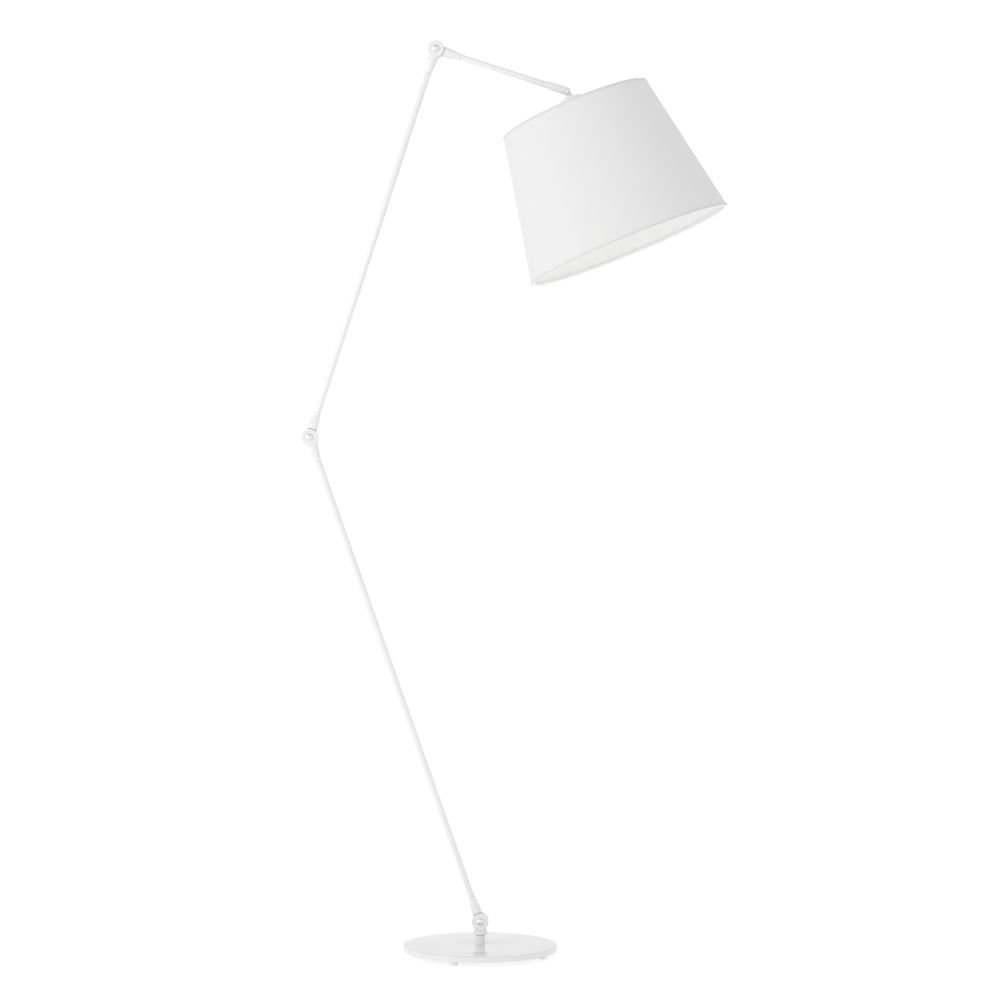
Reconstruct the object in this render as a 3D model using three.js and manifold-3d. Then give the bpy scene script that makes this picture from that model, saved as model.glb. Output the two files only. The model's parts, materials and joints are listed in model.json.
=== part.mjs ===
// Adjustable arm floor lamp: weighted disc base, three friction-jointed arms and a cone shade.
// Millimetres, +Z up. The origin is on the floor, on the axis of the base and its swivel.
// The arms lie in the XZ plane and every knuckle turns about an axis along Y.
import * as THREE from 'three';
import { mergeVertices } from 'three/addons/utils/BufferGeometryUtils.js';
import Module from 'manifold-3d';

const wasm = await Module();
wasm.setup();

// ---- driving dimensions: pose (degrees from vertical, positive towards +X) ----
const lowerArmLean = -19.4;
const middleArmLean = 18.0;
const upperArmLean = 107.8;
const shadeLean = -21.8;

// ---- driving dimensions: arms, pivot to pivot ----
const lowerArmLength = 998;
const middleArmLength = 794;
const upperArmLength = 269;
const tubeDiameter = 12;
const tubeWall = 1;

// ---- driving dimensions: clearances ----
const fitGap = 0.3;
const swingClearance = 0.8;

// ---- driving dimensions: base and swivel ----
const baseDiameter = 300;
const baseThickness = 11;
const baseEdgeRadius = 3;
const baseRecessDiameter = 64;
const baseRecessDepth = 5.5;
const footHeight = 9.5;
const footDiameter = 14;
const footCircleRadius = 130;
const firstFootAngle = -22;
const footCount = 4;
const columnDiameter = 19;
const columnHeight = 17.4;
const columnEase = 1.5;
const collarDiameter = 29;
const collarHeight = 6.7;
const collarFloor = 3;
const collarStep = 1;
const studDiameter = 10;
const studBore = 7;
const bottomCoverThickness = 1.2;
const coverOverlap = 6;

// ---- driving dimensions: knuckles ----
const knuckleDiameter = 33;
const eyeThickness = 7.4;
const cheekThickness = 5;
const washerThickness = 1;
const pivotDiameter = 8;
const pivotHeadDiameter = 13;
const pivotHeadHeight = 4;
const neckLength = 50;
const neckRootReach = 6.7;
const neckTipReach = 4;
const spigotLength = 18;
const cableDiameter = 4;

// ---- driving dimensions: arm end and lampholder ----
const armEndDiameter = 16;
const armEndOverhang = 4;
const tongueThickness = 5.4;
const tongueWidth = 10.8;
const shadePivotDiameter = 5;
const skirtDiameter = 39;
const skirtHeight = 21.5;
const cupClearance = 3;
const cupHeight = 38;
const cupWall = 1.5;
const cupDrop = 14;

// ---- driving dimensions: shade and bulb ----
const shadeTopDiameter = 299.4;
const shadeBottomDiameter = 410;
const shadeHeight = 285.5;
const shadeTopDrop = 38.5;
const skinThickness = 1;
const wireDiameter = 4;
const spokeCount = 3;
const tapeWidth = 4;
const tapeThickness = 0.5;
const bulbDiameter = 60;
const bulbLength = 105;
const bulbCapDiameter = 26.4;
const bulbCapHeight = 27;

// ---- facets round a full turn, from the smallest pieces to the shade ----
const smallSides = 12;
const mediumSides = 24;
const largeSides = 44;
const plateSides = 60;

// ---- finishes ----
const whiteLacquer = { color: 0xf2f2f0, roughness: 0.22, metalness: 0.0 };
const polishedSteel = { color: 0xd9dadb, roughness: 0.18, metalness: 1.0 };
const zincSteel = { color: 0xb9bcc0, roughness: 0.4, metalness: 1.0 };
const brass = { color: 0xc9a85a, roughness: 0.3, metalness: 1.0 };
const palePolymer = { color: 0xe9e9e6, roughness: 0.5, metalness: 0.0 };
const whiteCable = { color: 0xe4e4e1, roughness: 0.6, metalness: 0.0 };
const whiteTextile = { color: 0xf4f3f0, roughness: 0.85, metalness: 0.0 };
const opalGlass = { color: 0xf8f6f0, roughness: 0.15, metalness: 0.0 };

const radians = THREE.MathUtils.degToRad;

// ---------------------------------------------------------------------------
// Solids
// ---------------------------------------------------------------------------

// Six times the signed volume of an indexed triangle list: its sign says which way the faces point.
function signedVolume(points, faces) {
  let sum = 0;
  const a = new THREE.Vector3();
  const b = new THREE.Vector3();
  const c = new THREE.Vector3();
  for (let i = 0; i < faces.length; i += 3) {
    a.fromArray(points, 3 * faces[i]);
    b.fromArray(points, 3 * faces[i + 1]);
    c.fromArray(points, 3 * faces[i + 2]);
    sum += a.dot(b.cross(c));
  }
  return sum;
}

// A closed three.js geometry as a solid: vertices merged, pinched faces dropped, faces outwards.
function solid(geometry) {
  geometry.deleteAttribute('normal');
  geometry.deleteAttribute('uv');
  const merged = mergeVertices(geometry, 1e-4);
  const points = new Float32Array(merged.attributes.position.array);
  const index = merged.index.array;
  const faces = [];
  for (let i = 0; i < index.length; i += 3) {
    const [a, b, c] = [index[i], index[i + 1], index[i + 2]];
    if (a !== b && b !== c && c !== a) faces.push(a, b, c);
  }
  if (signedVolume(points, faces) < 0) faces.reverse();
  const mesh = new wasm.Mesh({ numProp: 3, vertProperties: points, triVerts: new Uint32Array(faces) });
  return new wasm.Manifold(mesh);
}

// A profile of [radius, height] points turned about +Z.
function turned(profile, sides) {
  const points = profile.map(([radius, height]) => new THREE.Vector2(radius, height));
  return solid(new THREE.LatheGeometry(points, sides).rotateX(Math.PI / 2));
}

// A ring or tube about +Z with a rectangular section.
function ring(innerRadius, outerRadius, low, high, sides) {
  return turned([
    [innerRadius, low],
    [outerRadius, low],
    [outerRadius, high],
    [innerRadius, high],
    [innerRadius, low],
  ], sides);
}

// A plain cylinder about +Z.
function post(radius, low, high, sides) {
  const height = high - low;
  const cylinder = new THREE.CylinderGeometry(radius, radius, height, sides);
  return solid(cylinder.rotateX(Math.PI / 2).translate(0, 0, low + height / 2));
}

// A plain cylinder about +Y.
function crossPost(radius, low, high, sides) {
  const height = high - low;
  const cylinder = new THREE.CylinderGeometry(radius, radius, height, sides);
  return solid(cylinder.translate(0, low + height / 2, 0));
}

// A box between two corners.
function block(low, high) {
  const [x, y, z] = high.map((value, i) => value - low[i]);
  const centre = high.map((value, i) => (value + low[i]) / 2);
  return solid(new THREE.BoxGeometry(x, y, z).translate(...centre));
}

// A round bar between two points.
function bar(from, to, radius, sides) {
  const span = new THREE.Vector3().subVectors(to, from);
  const turn = new THREE.Quaternion().setFromUnitVectors(
    new THREE.Vector3(0, 1, 0), span.clone().normalize());
  const cylinder = new THREE.CylinderGeometry(radius, radius, span.length(), sides);
  cylinder.applyQuaternion(turn);
  cylinder.translate(...from.clone().add(to).multiplyScalar(0.5).toArray());
  return solid(cylinder);
}

// A hexagonal nut blank about +Z, sized across its flats.
function hexBlank(acrossFlats, low, high) {
  return post(acrossFlats / 2 / Math.cos(Math.PI / 6), low, high, 6);
}

// A round wire bent into a circle about +Z.
function wireHoop(radius, height, wireRadius, wireSides, sides) {
  const profile = [];
  for (let i = 0; i <= wireSides; i += 1) {
    const angle = (2 * Math.PI * i) / wireSides;
    profile.push([radius + wireRadius * Math.cos(angle), height + wireRadius * Math.sin(angle)]);
  }
  profile[wireSides] = profile[0];
  return turned(profile, sides);
}

// Points of a quarter or other arc, from one angle to another, for a lathe profile.
function arc(centreRadius, centreHeight, radius, fromDegrees, toDegrees, steps) {
  const points = [];
  for (let i = 0; i <= steps; i += 1) {
    const angle = radians(fromDegrees + ((toDegrees - fromDegrees) * i) / steps);
    points.push([centreRadius + radius * Math.cos(angle), centreHeight + radius * Math.sin(angle)]);
  }
  return points;
}

// A solid as a named mesh with its own material.
function piece(name, body, finish) {
  const { vertProperties, triVerts } = body.getMesh();
  const geometry = new THREE.BufferGeometry();
  geometry.setAttribute('position', new THREE.BufferAttribute(new Float32Array(vertProperties), 3));
  geometry.setIndex(new THREE.BufferAttribute(new Uint32Array(triVerts), 1));
  geometry.computeVertexNormals();
  const mesh = new THREE.Mesh(geometry, new THREE.MeshStandardMaterial(finish));
  mesh.name = name;
  return mesh;
}

// ---------------------------------------------------------------------------
// Base, feet and column
// ---------------------------------------------------------------------------

const plateBottom = footHeight;
const plateTop = plateBottom + baseThickness;
const recessCeiling = plateBottom + baseRecessDepth;
const studHoleRadius = studDiameter / 2 + fitGap;
const footSpigotShare = 0.21;
const footSpigotDepthShare = 0.45;
const footSpigotRadius = footSpigotShare * footDiameter;
const footSpigotLength = footSpigotDepthShare * baseThickness;
const columnBottom = plateTop + fitGap;
const columnTop = columnBottom + columnHeight;
const swivelWasherBottom = columnTop + fitGap;
const collarBottom = swivelWasherBottom + washerThickness + fitGap;
const collarTop = collarBottom + collarHeight;
const knuckleRadius = knuckleDiameter / 2;
const swingRadius = knuckleRadius + swingClearance;
const lowForkFloor = 1.2;
const lowPivotHeight = collarTop + lowForkFloor + swingRadius;
const plainNutShare = 1.7;
const slimNutShare = 1.4;
const baseNutHeight = 3.1;
const baseWasherThickness = 1.3;
const baseWasherShare = 1.3;
const swivelNutHeight = 3.4;
const swivelNutFlats = slimNutShare * studDiameter;
const swivelNutBottom = collarBottom + collarFloor + fitGap;
const studTop = swivelNutBottom + swivelNutHeight + fitGap;

// Where foot number i stands, as an angle round the base.
function footAngle(i) {
  return radians(firstFootAngle + (360 * i) / footCount);
}

function basePlate() {
  const radius = baseDiameter / 2;
  const underEdge = baseEdgeRadius / 3;
  let plate = turned([
    [studHoleRadius, recessCeiling],
    [baseRecessDiameter / 2, recessCeiling],
    [baseRecessDiameter / 2, plateBottom],
    [radius - underEdge, plateBottom],
    [radius, plateBottom + underEdge],
    ...arc(radius - baseEdgeRadius, plateTop - baseEdgeRadius, baseEdgeRadius, 0, 90, 3),
    [studHoleRadius, plateTop],
    [studHoleRadius, recessCeiling],
  ], plateSides);
  for (let i = 0; i < footCount; i += 1) {
    const hole = post(footSpigotRadius + fitGap, plateBottom - 1, plateBottom + footSpigotLength + fitGap,
      smallSides);
    const angle = footAngle(i);
    plate = plate.subtract(hole.translate([
      footCircleRadius * Math.cos(angle), footCircleRadius * Math.sin(angle), 0]));
  }
  return piece('base_plate', plate, whiteLacquer);
}

// A soft bumper foot with a spigot pressed into the plate's underside.
function foot(i) {
  const top = plateBottom - fitGap;
  const radius = footDiameter / 2;
  const chamfer = 1;
  const body = turned([
    [0, 0],
    [radius - chamfer, 0],
    [radius, chamfer],
    [radius, top],
    [footSpigotRadius, top],
    [footSpigotRadius, plateBottom + footSpigotLength],
    [0, plateBottom + footSpigotLength],
  ], smallSides);
  const names = ['foot_front_right', 'foot_rear_right', 'foot_rear_left', 'foot_front_left'];
  const mesh = piece(names[i], body, palePolymer);
  mesh.position.set(footCircleRadius * Math.cos(footAngle(i)), footCircleRadius * Math.sin(footAngle(i)), 0);
  return mesh;
}

// Thin round cover over the nut, held to the plate's underside, with a hole for the cable grommet.
const grommetOffsetShare = 0.34;
const grommetOffset = grommetOffsetShare * baseRecessDiameter;
const grommetEase = 0.5;
const grommetWall = 2.1;
const grommetBoreRadius = cableDiameter / 2 + grommetEase;
const grommetBodyRadius = grommetBoreRadius + grommetWall;
const grommetLip = 1.8;
const grommetLipThickness = 1.4;

function bottomCover() {
  const top = plateBottom - fitGap;
  const radius = baseRecessDiameter / 2 + coverOverlap;
  const disc = post(radius, top - bottomCoverThickness, top, mediumSides);
  const hole = post(grommetBodyRadius + fitGap, 0, plateTop, smallSides);
  return piece('bottom_cover', disc.subtract(hole.translate([0, grommetOffset, 0])), zincSteel);
}

// Rubber bush in the cover that protects the cable where it leaves the base: flush underneath,
// with its flange inside.
function cableGrommet() {
  const coverTop = plateBottom - fitGap;
  const coverBottom = coverTop - bottomCoverThickness;
  const lipBottom = coverTop + fitGap;
  const body = turned([
    [grommetBoreRadius, coverBottom],
    [grommetBodyRadius, coverBottom],
    [grommetBodyRadius, lipBottom],
    [grommetBodyRadius + grommetLip, lipBottom],
    [grommetBodyRadius + grommetLip, lipBottom + grommetLipThickness],
    [grommetBoreRadius, lipBottom + grommetLipThickness],
    [grommetBoreRadius, coverBottom],
  ], smallSides);
  const mesh = piece('cable_grommet', body, palePolymer);
  mesh.position.set(0, grommetOffset, 0);
  return mesh;
}

const baseWasherBottom = recessCeiling - fitGap - baseWasherThickness;
const baseNutBottom = baseWasherBottom - fitGap - baseNutHeight;

function baseWasher() {
  const radius = baseWasherShare * studDiameter;
  const body = ring(studHoleRadius, radius, baseWasherBottom, recessCeiling - fitGap, smallSides);
  return piece('base_washer', body, zincSteel);
}

function baseNut() {
  const blank = hexBlank(plainNutShare * studDiameter, baseNutBottom, baseNutBottom + baseNutHeight);
  const bore = post(studHoleRadius, 0, plateTop, smallSides);
  return piece('base_nut', blank.subtract(bore), zincSteel);
}

// Hollow threaded stud that clamps the column to the plate and carries the swivel.
function threadedStud() {
  const body = ring(studBore / 2, studDiameter / 2, baseNutBottom, studTop, smallSides);
  return piece('threaded_stud', body, zincSteel);
}

function column() {
  const body = ring(studDiameter / 2 + columnEase, columnDiameter / 2, columnBottom, columnTop, mediumSides);
  return piece('column', body, whiteLacquer);
}

function columnCable() {
  const body = post(cableDiameter / 2, baseNutBottom, studTop, 8);
  return piece('column_cable', body, whiteCable);
}

function swivelWasher() {
  const body = ring(studHoleRadius, columnDiameter / 2, swivelWasherBottom,
    swivelWasherBottom + washerThickness, mediumSides);
  return piece('swivel_washer', body, palePolymer);
}

function swivelNut() {
  const blank = hexBlank(swivelNutFlats, swivelNutBottom, swivelNutBottom + swivelNutHeight);
  const bore = post(studHoleRadius, 0, lowPivotHeight, smallSides);
  return piece('swivel_nut', blank.subtract(bore), zincSteel);
}

// ---------------------------------------------------------------------------
// Knuckles. Each is drawn with its pivot at the origin and its own arm along +Z.
// ---------------------------------------------------------------------------

const slotWidth = eyeThickness + 2 * (washerThickness + 2 * fitGap);
const knuckleHalfWidth = slotWidth / 2 + cheekThickness;
const pivotHoleRadius = pivotDiameter / 2 + fitGap;
const neckRootRadius = knuckleHalfWidth - fitGap;
const neckLip = 0.6;
const neckTipRadius = tubeDiameter / 2 + neckLip;
const neckStartShare = 0.4;
const tubeInnerRadius = tubeDiameter / 2 - tubeWall;
const spigotRadius = tubeInnerRadius - fitGap;
const cableEase = 0.8;
const cableBoreRadius = cableDiameter / 2 + cableEase;
const grooveHalfWidth = cableDiameter / 2 + fitGap;
const grooveEase = 0.6;
const grooveDepth = cableDiameter + grooveEase;

// The tapered round neck that joins a knuckle to its tube, with the spigot that fills the tube's end.
function neck(rootRadius, tipRadius, length) {
  const start = neckStartShare * knuckleRadius;
  return turned([
    [0, start],
    [rootRadius, start],
    [rootRadius, swingRadius + neckRootReach],
    [tipRadius, length - neckTipReach],
    [tipRadius, length],
    [spigotRadius, length],
    [spigotRadius, length + spigotLength],
    [0, length + spigotLength],
  ], smallSides + 4);
}

function cableBore(from, to) {
  return post(cableBoreRadius, from, to, 8);
}

// Two round cheeks with the slot for the eye between them.
function forkHead(baseSolid) {
  const disc = crossPost(knuckleRadius, -knuckleHalfWidth, knuckleHalfWidth, mediumSides);
  const slot = crossPost(swingRadius, -slotWidth / 2, slotWidth / 2, mediumSides);
  const pivotHole = crossPost(pivotHoleRadius, -knuckleHalfWidth - 1, knuckleHalfWidth + 1, smallSides);
  return disc.add(baseSolid).subtract(slot).subtract(pivotHole);
}

function armFork(name) {
  const stem = neck(neckRootRadius, neckTipRadius, neckLength);
  const bore = cableBore(0, neckLength + spigotLength + 1);
  return piece(name, forkHead(stem).subtract(bore), whiteLacquer);
}

// One round eye that turns between the cheeks. The cable lies in the groove round its rim.
function armEye(name) {
  const disc = crossPost(knuckleRadius, -eyeThickness / 2, eyeThickness / 2, mediumSides);
  const reach = knuckleHalfWidth + 1;
  const front = crossPost(swingRadius, -reach, -eyeThickness / 2, mediumSides);
  const back = crossPost(swingRadius, eyeThickness / 2, reach, mediumSides);
  const stem = neck(neckRootRadius, neckTipRadius, neckLength).subtract(front).subtract(back);
  const grooveOuter = crossPost(swingRadius, -grooveHalfWidth, grooveHalfWidth, mediumSides);
  const grooveInner = crossPost(knuckleRadius - grooveDepth, -reach, reach, mediumSides);
  const pivotHole = crossPost(pivotHoleRadius, -reach, reach, smallSides);
  const bore = cableBore(knuckleRadius - grooveDepth, neckLength + spigotLength + 1);
  const body = disc.add(stem).subtract(grooveOuter.subtract(grooveInner)).subtract(pivotHole).subtract(bore);
  return piece(name, body, whiteLacquer);
}

// The fork that stands on the swivel collar, in one piece with it, hollow for the swivel nut.
function swivelFork() {
  const low = collarBottom - lowPivotHeight;
  const top = collarTop - lowPivotHeight;
  const slotFloor = top + lowForkFloor;
  const radius = collarDiameter / 2;
  const edge = 1.2;
  const collar = turned([
    [0, low],
    [radius - edge / 2, low],
    [radius, low + edge / 2],
    ...arc(radius - edge, top - edge, edge, 0, 90, 2),
    [0, top],
  ], mediumSides);
  const cheekSpace = block([-radius, -knuckleHalfWidth, low], [radius, knuckleHalfWidth, 0]);
  const pedestal = post(radius - collarStep, top - edge, 0, mediumSides).intersect(cheekSpace);
  const slot = block([-radius, -slotWidth / 2, slotFloor], [radius, slotWidth / 2, knuckleRadius]);
  const pocketRadius = swivelNutFlats / 2 / Math.cos(Math.PI / 6) + swingClearance;
  const nutPocket = post(pocketRadius, low + collarFloor, slotFloor + fitGap, smallSides);
  const studHole = post(studHoleRadius, low - 1, slotFloor, smallSides);
  const body = forkHead(collar.add(pedestal)).subtract(slot).subtract(nutPocket).subtract(studHole);
  const mesh = piece('swivel_fork', body, whiteLacquer);
  mesh.position.z = lowPivotHeight;
  return mesh;
}

// The pivot bolt's domed head is at the front (-Y) and its thread at the back (+Y).
const springWasherThickness = 1.6;
const springWasherReach = 1;
const frictionWasherInset = 3;
const capNutFlats = 13;
const capNutHeight = 6;
const capNutDome = 5.5;
const headRimShare = 0.25;
const nutSeat = knuckleHalfWidth + 2 * fitGap + springWasherThickness;

// Turns a solid drawn about +Z so that its top points along +Y.
function alongY(body) {
  return body.rotate([-90, 0, 0]);
}

// Turned profile of a domed screw: a head below the seat height and a shank above it.
function domedScrew(headRadius, headHeight, shankRadius, seat, end) {
  const dome = [];
  const steps = 3;
  for (let i = 0; i < steps; i += 1) {
    const angle = (Math.PI / 2) * (i / steps);
    dome.push([headRadius * Math.sin(angle), seat - headHeight * Math.cos(angle)]);
  }
  return turned([
    ...dome,
    [headRadius, seat - headRimShare * headHeight],
    [headRadius, seat],
    [shankRadius, seat],
    [shankRadius, end],
    [0, end],
  ], smallSides);
}

function pivotBolt(name) {
  const seat = -knuckleHalfWidth - fitGap;
  const end = nutSeat + capNutHeight;
  const body = domedScrew(pivotHeadDiameter / 2, pivotHeadHeight, pivotDiameter / 2, seat, end);
  return piece(name, alongY(body), polishedSteel);
}

function capNut(name) {
  const top = nutSeat + capNutHeight;
  const dome = turned([
    [0, nutSeat],
    [capNutFlats / 2, nutSeat],
    [capNutFlats / 2, top],
    ...arc(0, top, capNutDome, 30, 90, 3).slice(0, -1),
    [0, top + capNutDome],
  ], smallSides);
  const bore = post(pivotHoleRadius, 0, top + fitGap, smallSides);
  const body = hexBlank(capNutFlats, nutSeat, top).add(dome).subtract(bore);
  return piece(name, alongY(body), polishedSteel);
}

function springWasher(name) {
  const low = knuckleHalfWidth + fitGap;
  const body = ring(pivotHoleRadius, capNutFlats / 2 + springWasherReach, low, low + springWasherThickness,
    smallSides);
  return piece(name, alongY(body), zincSteel);
}

function frictionWasher(name, side) {
  const low = eyeThickness / 2 + fitGap;
  const radius = knuckleRadius - frictionWasherInset;
  const body = ring(pivotHoleRadius, radius, low, low + washerThickness, smallSides);
  const mesh = piece(name, alongY(body), palePolymer);
  mesh.rotation.x = side < 0 ? Math.PI : 0;
  return mesh;
}

// The one turn of cable that lies in an eye's groove, so that the joint can turn without pulling it.
function cableLoop(name) {
  const radius = knuckleRadius - grooveDepth + fitGap + cableDiameter / 2;
  return piece(name, alongY(wireHoop(radius, 0, cableDiameter / 2, 8, mediumSides)), whiteCable);
}

// Everything on one pivot that stays with the fork.
function knuckleFittings(label) {
  return [
    pivotBolt(`${label}_pivot_bolt`),
    capNut(`${label}_cap_nut`),
    springWasher(`${label}_spring_washer`),
    frictionWasher(`${label}_friction_washer_front`, -1),
    frictionWasher(`${label}_friction_washer_back`, 1),
  ];
}

// ---------------------------------------------------------------------------
// Arms, drawn along +Z from their lower pivot
// ---------------------------------------------------------------------------

function armTube(name, armLength) {
  const end = neckLength + fitGap;
  const body = ring(tubeInnerRadius, tubeDiameter / 2, end, armLength - end, smallSides + 4);
  return piece(name, body, whiteLacquer);
}

// The cable inside an arm, from one knuckle's groove to the next.
function armCable(name, armLength) {
  const body = post(cableDiameter / 2, swingRadius, armLength - swingRadius, 8);
  return piece(name, body, whiteCable);
}

// One arm of two knuckle halves, a tube and its cable, with the upper pivot's fittings.
function arm(label, lowerPivot, upperPivot, armLength) {
  const group = new THREE.Group();
  const fork = armFork(`${upperPivot}_fork`);
  fork.rotation.y = Math.PI;
  const top = new THREE.Group();
  top.position.z = armLength;
  top.add(fork, ...knuckleFittings(upperPivot));
  group.add(armEye(`${lowerPivot}_eye`), armTube(`${label}_tube`, armLength));
  group.add(cableLoop(`${lowerPivot}_cable_loop`), armCable(`${label}_cable`, armLength), top);
  return group;
}

// ---------------------------------------------------------------------------
// Arm end and the shade's tongue, drawn with the shade pivot at the origin
// ---------------------------------------------------------------------------

const tongueGap = tongueThickness / 2 + fitGap;
const tongueRadius = tongueWidth / 2;
const endSwing = Math.hypot(armEndDiameter / 2, armEndOverhang);
const tongueSwing = tongueRadius + swingClearance;
const armEndCollar = 4;
const armEndTaper = 16;
const screwFlatDepth = 1.2;
const screwSeat = armEndDiameter / 2 - screwFlatDepth;
const shadeScrewHead = 4.6;
const shadeScrewHeadHeight = 3;
const shadeScrewRecess = 0.5;
const shadeNutFlats = 8;
const shadeNutHeight = 4;

// A thickened tube end, cut square, with a slot for the tongue and a flat for each screw end.
function armEndFork() {
  const radius = armEndDiameter / 2;
  const outline = turned([
    [0, -neckLength - spigotLength],
    [spigotRadius, -neckLength - spigotLength],
    [spigotRadius, -neckLength],
    [neckTipRadius, -neckLength],
    [neckTipRadius, -neckLength + armEndCollar],
    [radius, -neckLength + armEndCollar + armEndTaper],
    [radius, armEndOverhang],
    [0, armEndOverhang],
  ], smallSides + 4);
  const slot = block([-armEndDiameter, -tongueGap, -tongueSwing],
    [armEndDiameter, tongueGap, armEndDiameter]);
  const flat = crossPost(shadeScrewHead + swingClearance, screwSeat, armEndDiameter, smallSides);
  const pivotHole = crossPost(shadePivotDiameter / 2 + fitGap, -armEndDiameter, armEndDiameter, smallSides);
  const bore = cableBore(-neckLength - spigotLength - 1, 0);
  const body = outline.subtract(slot).subtract(flat).subtract(flat.mirror([0, 1, 0]))
    .subtract(pivotHole).subtract(bore);
  return piece('arm_end_fork', body, whiteLacquer);
}

function shadePivotScrew() {
  const seat = -screwSeat - fitGap;
  const end = screwSeat + fitGap + shadeNutHeight - shadeScrewRecess;
  const body = domedScrew(shadeScrewHead, shadeScrewHeadHeight, shadePivotDiameter / 2, seat, end);
  return piece('shade_pivot_screw', alongY(body), whiteLacquer);
}

function shadePivotNut() {
  const seat = screwSeat + fitGap;
  const blank = hexBlank(shadeNutFlats, seat, seat + shadeNutHeight);
  const bore = post(shadePivotDiameter / 2 + fitGap, 0, seat + 2 * shadeNutHeight, smallSides);
  return piece('shade_pivot_nut', alongY(blank.subtract(bore)), polishedSteel);
}

// ---------------------------------------------------------------------------
// Lampholder, shade and bulb, drawn about the shade's own axis with the shade pivot at the origin
// ---------------------------------------------------------------------------

const cupDiameter = skirtDiameter + 2 * (cupClearance + cupWall);
const cupTop = -cupDrop;
const cupBottom = cupTop - cupHeight;
const tongueFlangeTop = -endSwing - swingClearance;
const cupNutTop = cupTop - cupWall - fitGap;
const cupNutHeight = 4;
const holderNutGap = 1.2;
const holderTop = cupNutTop - cupNutHeight - holderNutGap;
const holderStudDepth = 6;
const holderSocketFloor = holderTop - holderStudDepth;
const holderRoof = 11;
const holderCavityTop = holderTop - holderRoof;
const holderWaist = 0.5;
const holderFlangeTop = cupBottom - fitGap;
const holderFlangeThickness = 2.2;
const holderFlangeBottom = holderFlangeTop - holderFlangeThickness;
const socketEase = 1;
const skirtRadius = skirtDiameter / 2;
const skirtBottom = holderFlangeBottom - skirtHeight;
const hubTop = holderFlangeBottom - fitGap;
const hubThickness = 2;
const hubEase = 0.7;
const hubWidth = 5;
const hubInnerRadius = skirtRadius + hubEase;
const hubOuterRadius = hubInnerRadius + hubWidth;
const shadeRingStep = 2;
const shadeRingTop = hubTop - hubThickness - fitGap;
const shadeRingHeight = 5;

// The bore in the tongue passes the cable's bare cores.
const wireBoreRadius = 1.6;

// The tongue between the arm end's cheeks, its flange and the hollow stud under it.
function shadeTongue() {
  const flangeBottom = cupTop + fitGap;
  const halfThickness = tongueThickness / 2;
  const round = crossPost(tongueRadius, -halfThickness, halfThickness, smallSides);
  const web = block([-tongueRadius, -halfThickness, flangeBottom], [tongueRadius, halfThickness, 0]);
  const flange = post(studDiameter, flangeBottom, tongueFlangeTop, mediumSides);
  const stud = post(studDiameter / 2, holderSocketFloor + fitGap, tongueFlangeTop, smallSides);
  const pivotHole = crossPost(shadePivotDiameter / 2 + fitGap, -armEndDiameter, armEndDiameter, smallSides);
  const boreTop = tongueFlangeTop + tongueRadius / 2;
  const bore = post(wireBoreRadius, 2 * holderTop, boreTop, 8);
  const body = round.add(web).add(flange).add(stud).subtract(pivotHole).subtract(bore);
  return piece('shade_tongue', body, whiteLacquer);
}

// A turned cap that hides the lampholder and hangs on the tongue's stud.
function lampholderCup() {
  const radius = cupDiameter / 2;
  const edge = 4;
  const body = turned([
    [studHoleRadius, cupTop],
    [studHoleRadius, cupTop - cupWall],
    [radius - edge, cupTop - cupWall],
    ...arc(radius - edge, cupTop - edge, edge - cupWall, 90, 0, 3).slice(1),
    [radius - cupWall, cupBottom],
    [radius, cupBottom],
    ...arc(radius - edge, cupTop - edge, edge, 0, 90, 4),
    [studHoleRadius, cupTop],
  ], mediumSides);
  return piece('lampholder_cup', body, whiteLacquer);
}

function tongueNut() {
  const blank = hexBlank(plainNutShare * studDiameter, cupNutTop - cupNutHeight, cupNutTop);
  const bore = post(studHoleRadius, 2 * cupNutTop, 0, smallSides);
  return piece('tongue_nut', blank.subtract(bore), zincSteel);
}

// Insulating lampholder: screwed on the stud at the top, open for the bulb below.
function lampholderBody() {
  const socketRadius = bulbCapDiameter / 2 + socketEase;
  const cableHole = cableDiameter / 2 + socketEase;
  const body = turned([
    [studHoleRadius, holderTop],
    [skirtRadius - holderWaist, holderTop],
    [skirtRadius - holderWaist, holderFlangeTop],
    [cupDiameter / 2, holderFlangeTop],
    [cupDiameter / 2, holderFlangeBottom],
    [skirtRadius, holderFlangeBottom],
    [skirtRadius, skirtBottom],
    [socketRadius, skirtBottom],
    [socketRadius, holderCavityTop],
    [cableHole, holderCavityTop],
    [cableHole, holderSocketFloor],
    [studHoleRadius, holderSocketFloor],
    [studHoleRadius, holderTop],
  ], mediumSides);
  return piece('lampholder_body', body, palePolymer);
}

const contactDrop = 6;
const contactWidth = 6;
const contactThickness = 0.8;
const contactTipReach = 4;
const contactRootShare = 0.84;

// A brass strip that lies under the socket's ceiling and is bent down to press on the bulb's tip.
function lampholderContact() {
  const root = (contactRootShare * bulbCapDiameter) / 2;
  const top = holderCavityTop - fitGap;
  const tip = top - contactDrop;
  const outline = new THREE.Shape([
    new THREE.Vector2(-root, top),
    new THREE.Vector2(-root, top - contactThickness),
    new THREE.Vector2(-contactTipReach, top - contactThickness),
    new THREE.Vector2(contactTipReach, tip),
    new THREE.Vector2(contactTipReach, tip + contactThickness),
    new THREE.Vector2(-contactTipReach, top),
  ]);
  const strip = new THREE.ExtrudeGeometry(outline, { depth: contactWidth, bevelEnabled: false });
  strip.rotateX(Math.PI / 2).translate(0, contactWidth / 2, 0);
  return piece('lampholder_contact', solid(strip), brass);
}

// The ring screwed on the lampholder's skirt that clamps the shade's hub.
function shadeRing() {
  const radius = hubOuterRadius - shadeRingStep;
  const body = ring(skirtRadius + fitGap, radius, shadeRingTop - shadeRingHeight, shadeRingTop, mediumSides);
  return piece('shade_ring', body, palePolymer);
}

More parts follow.
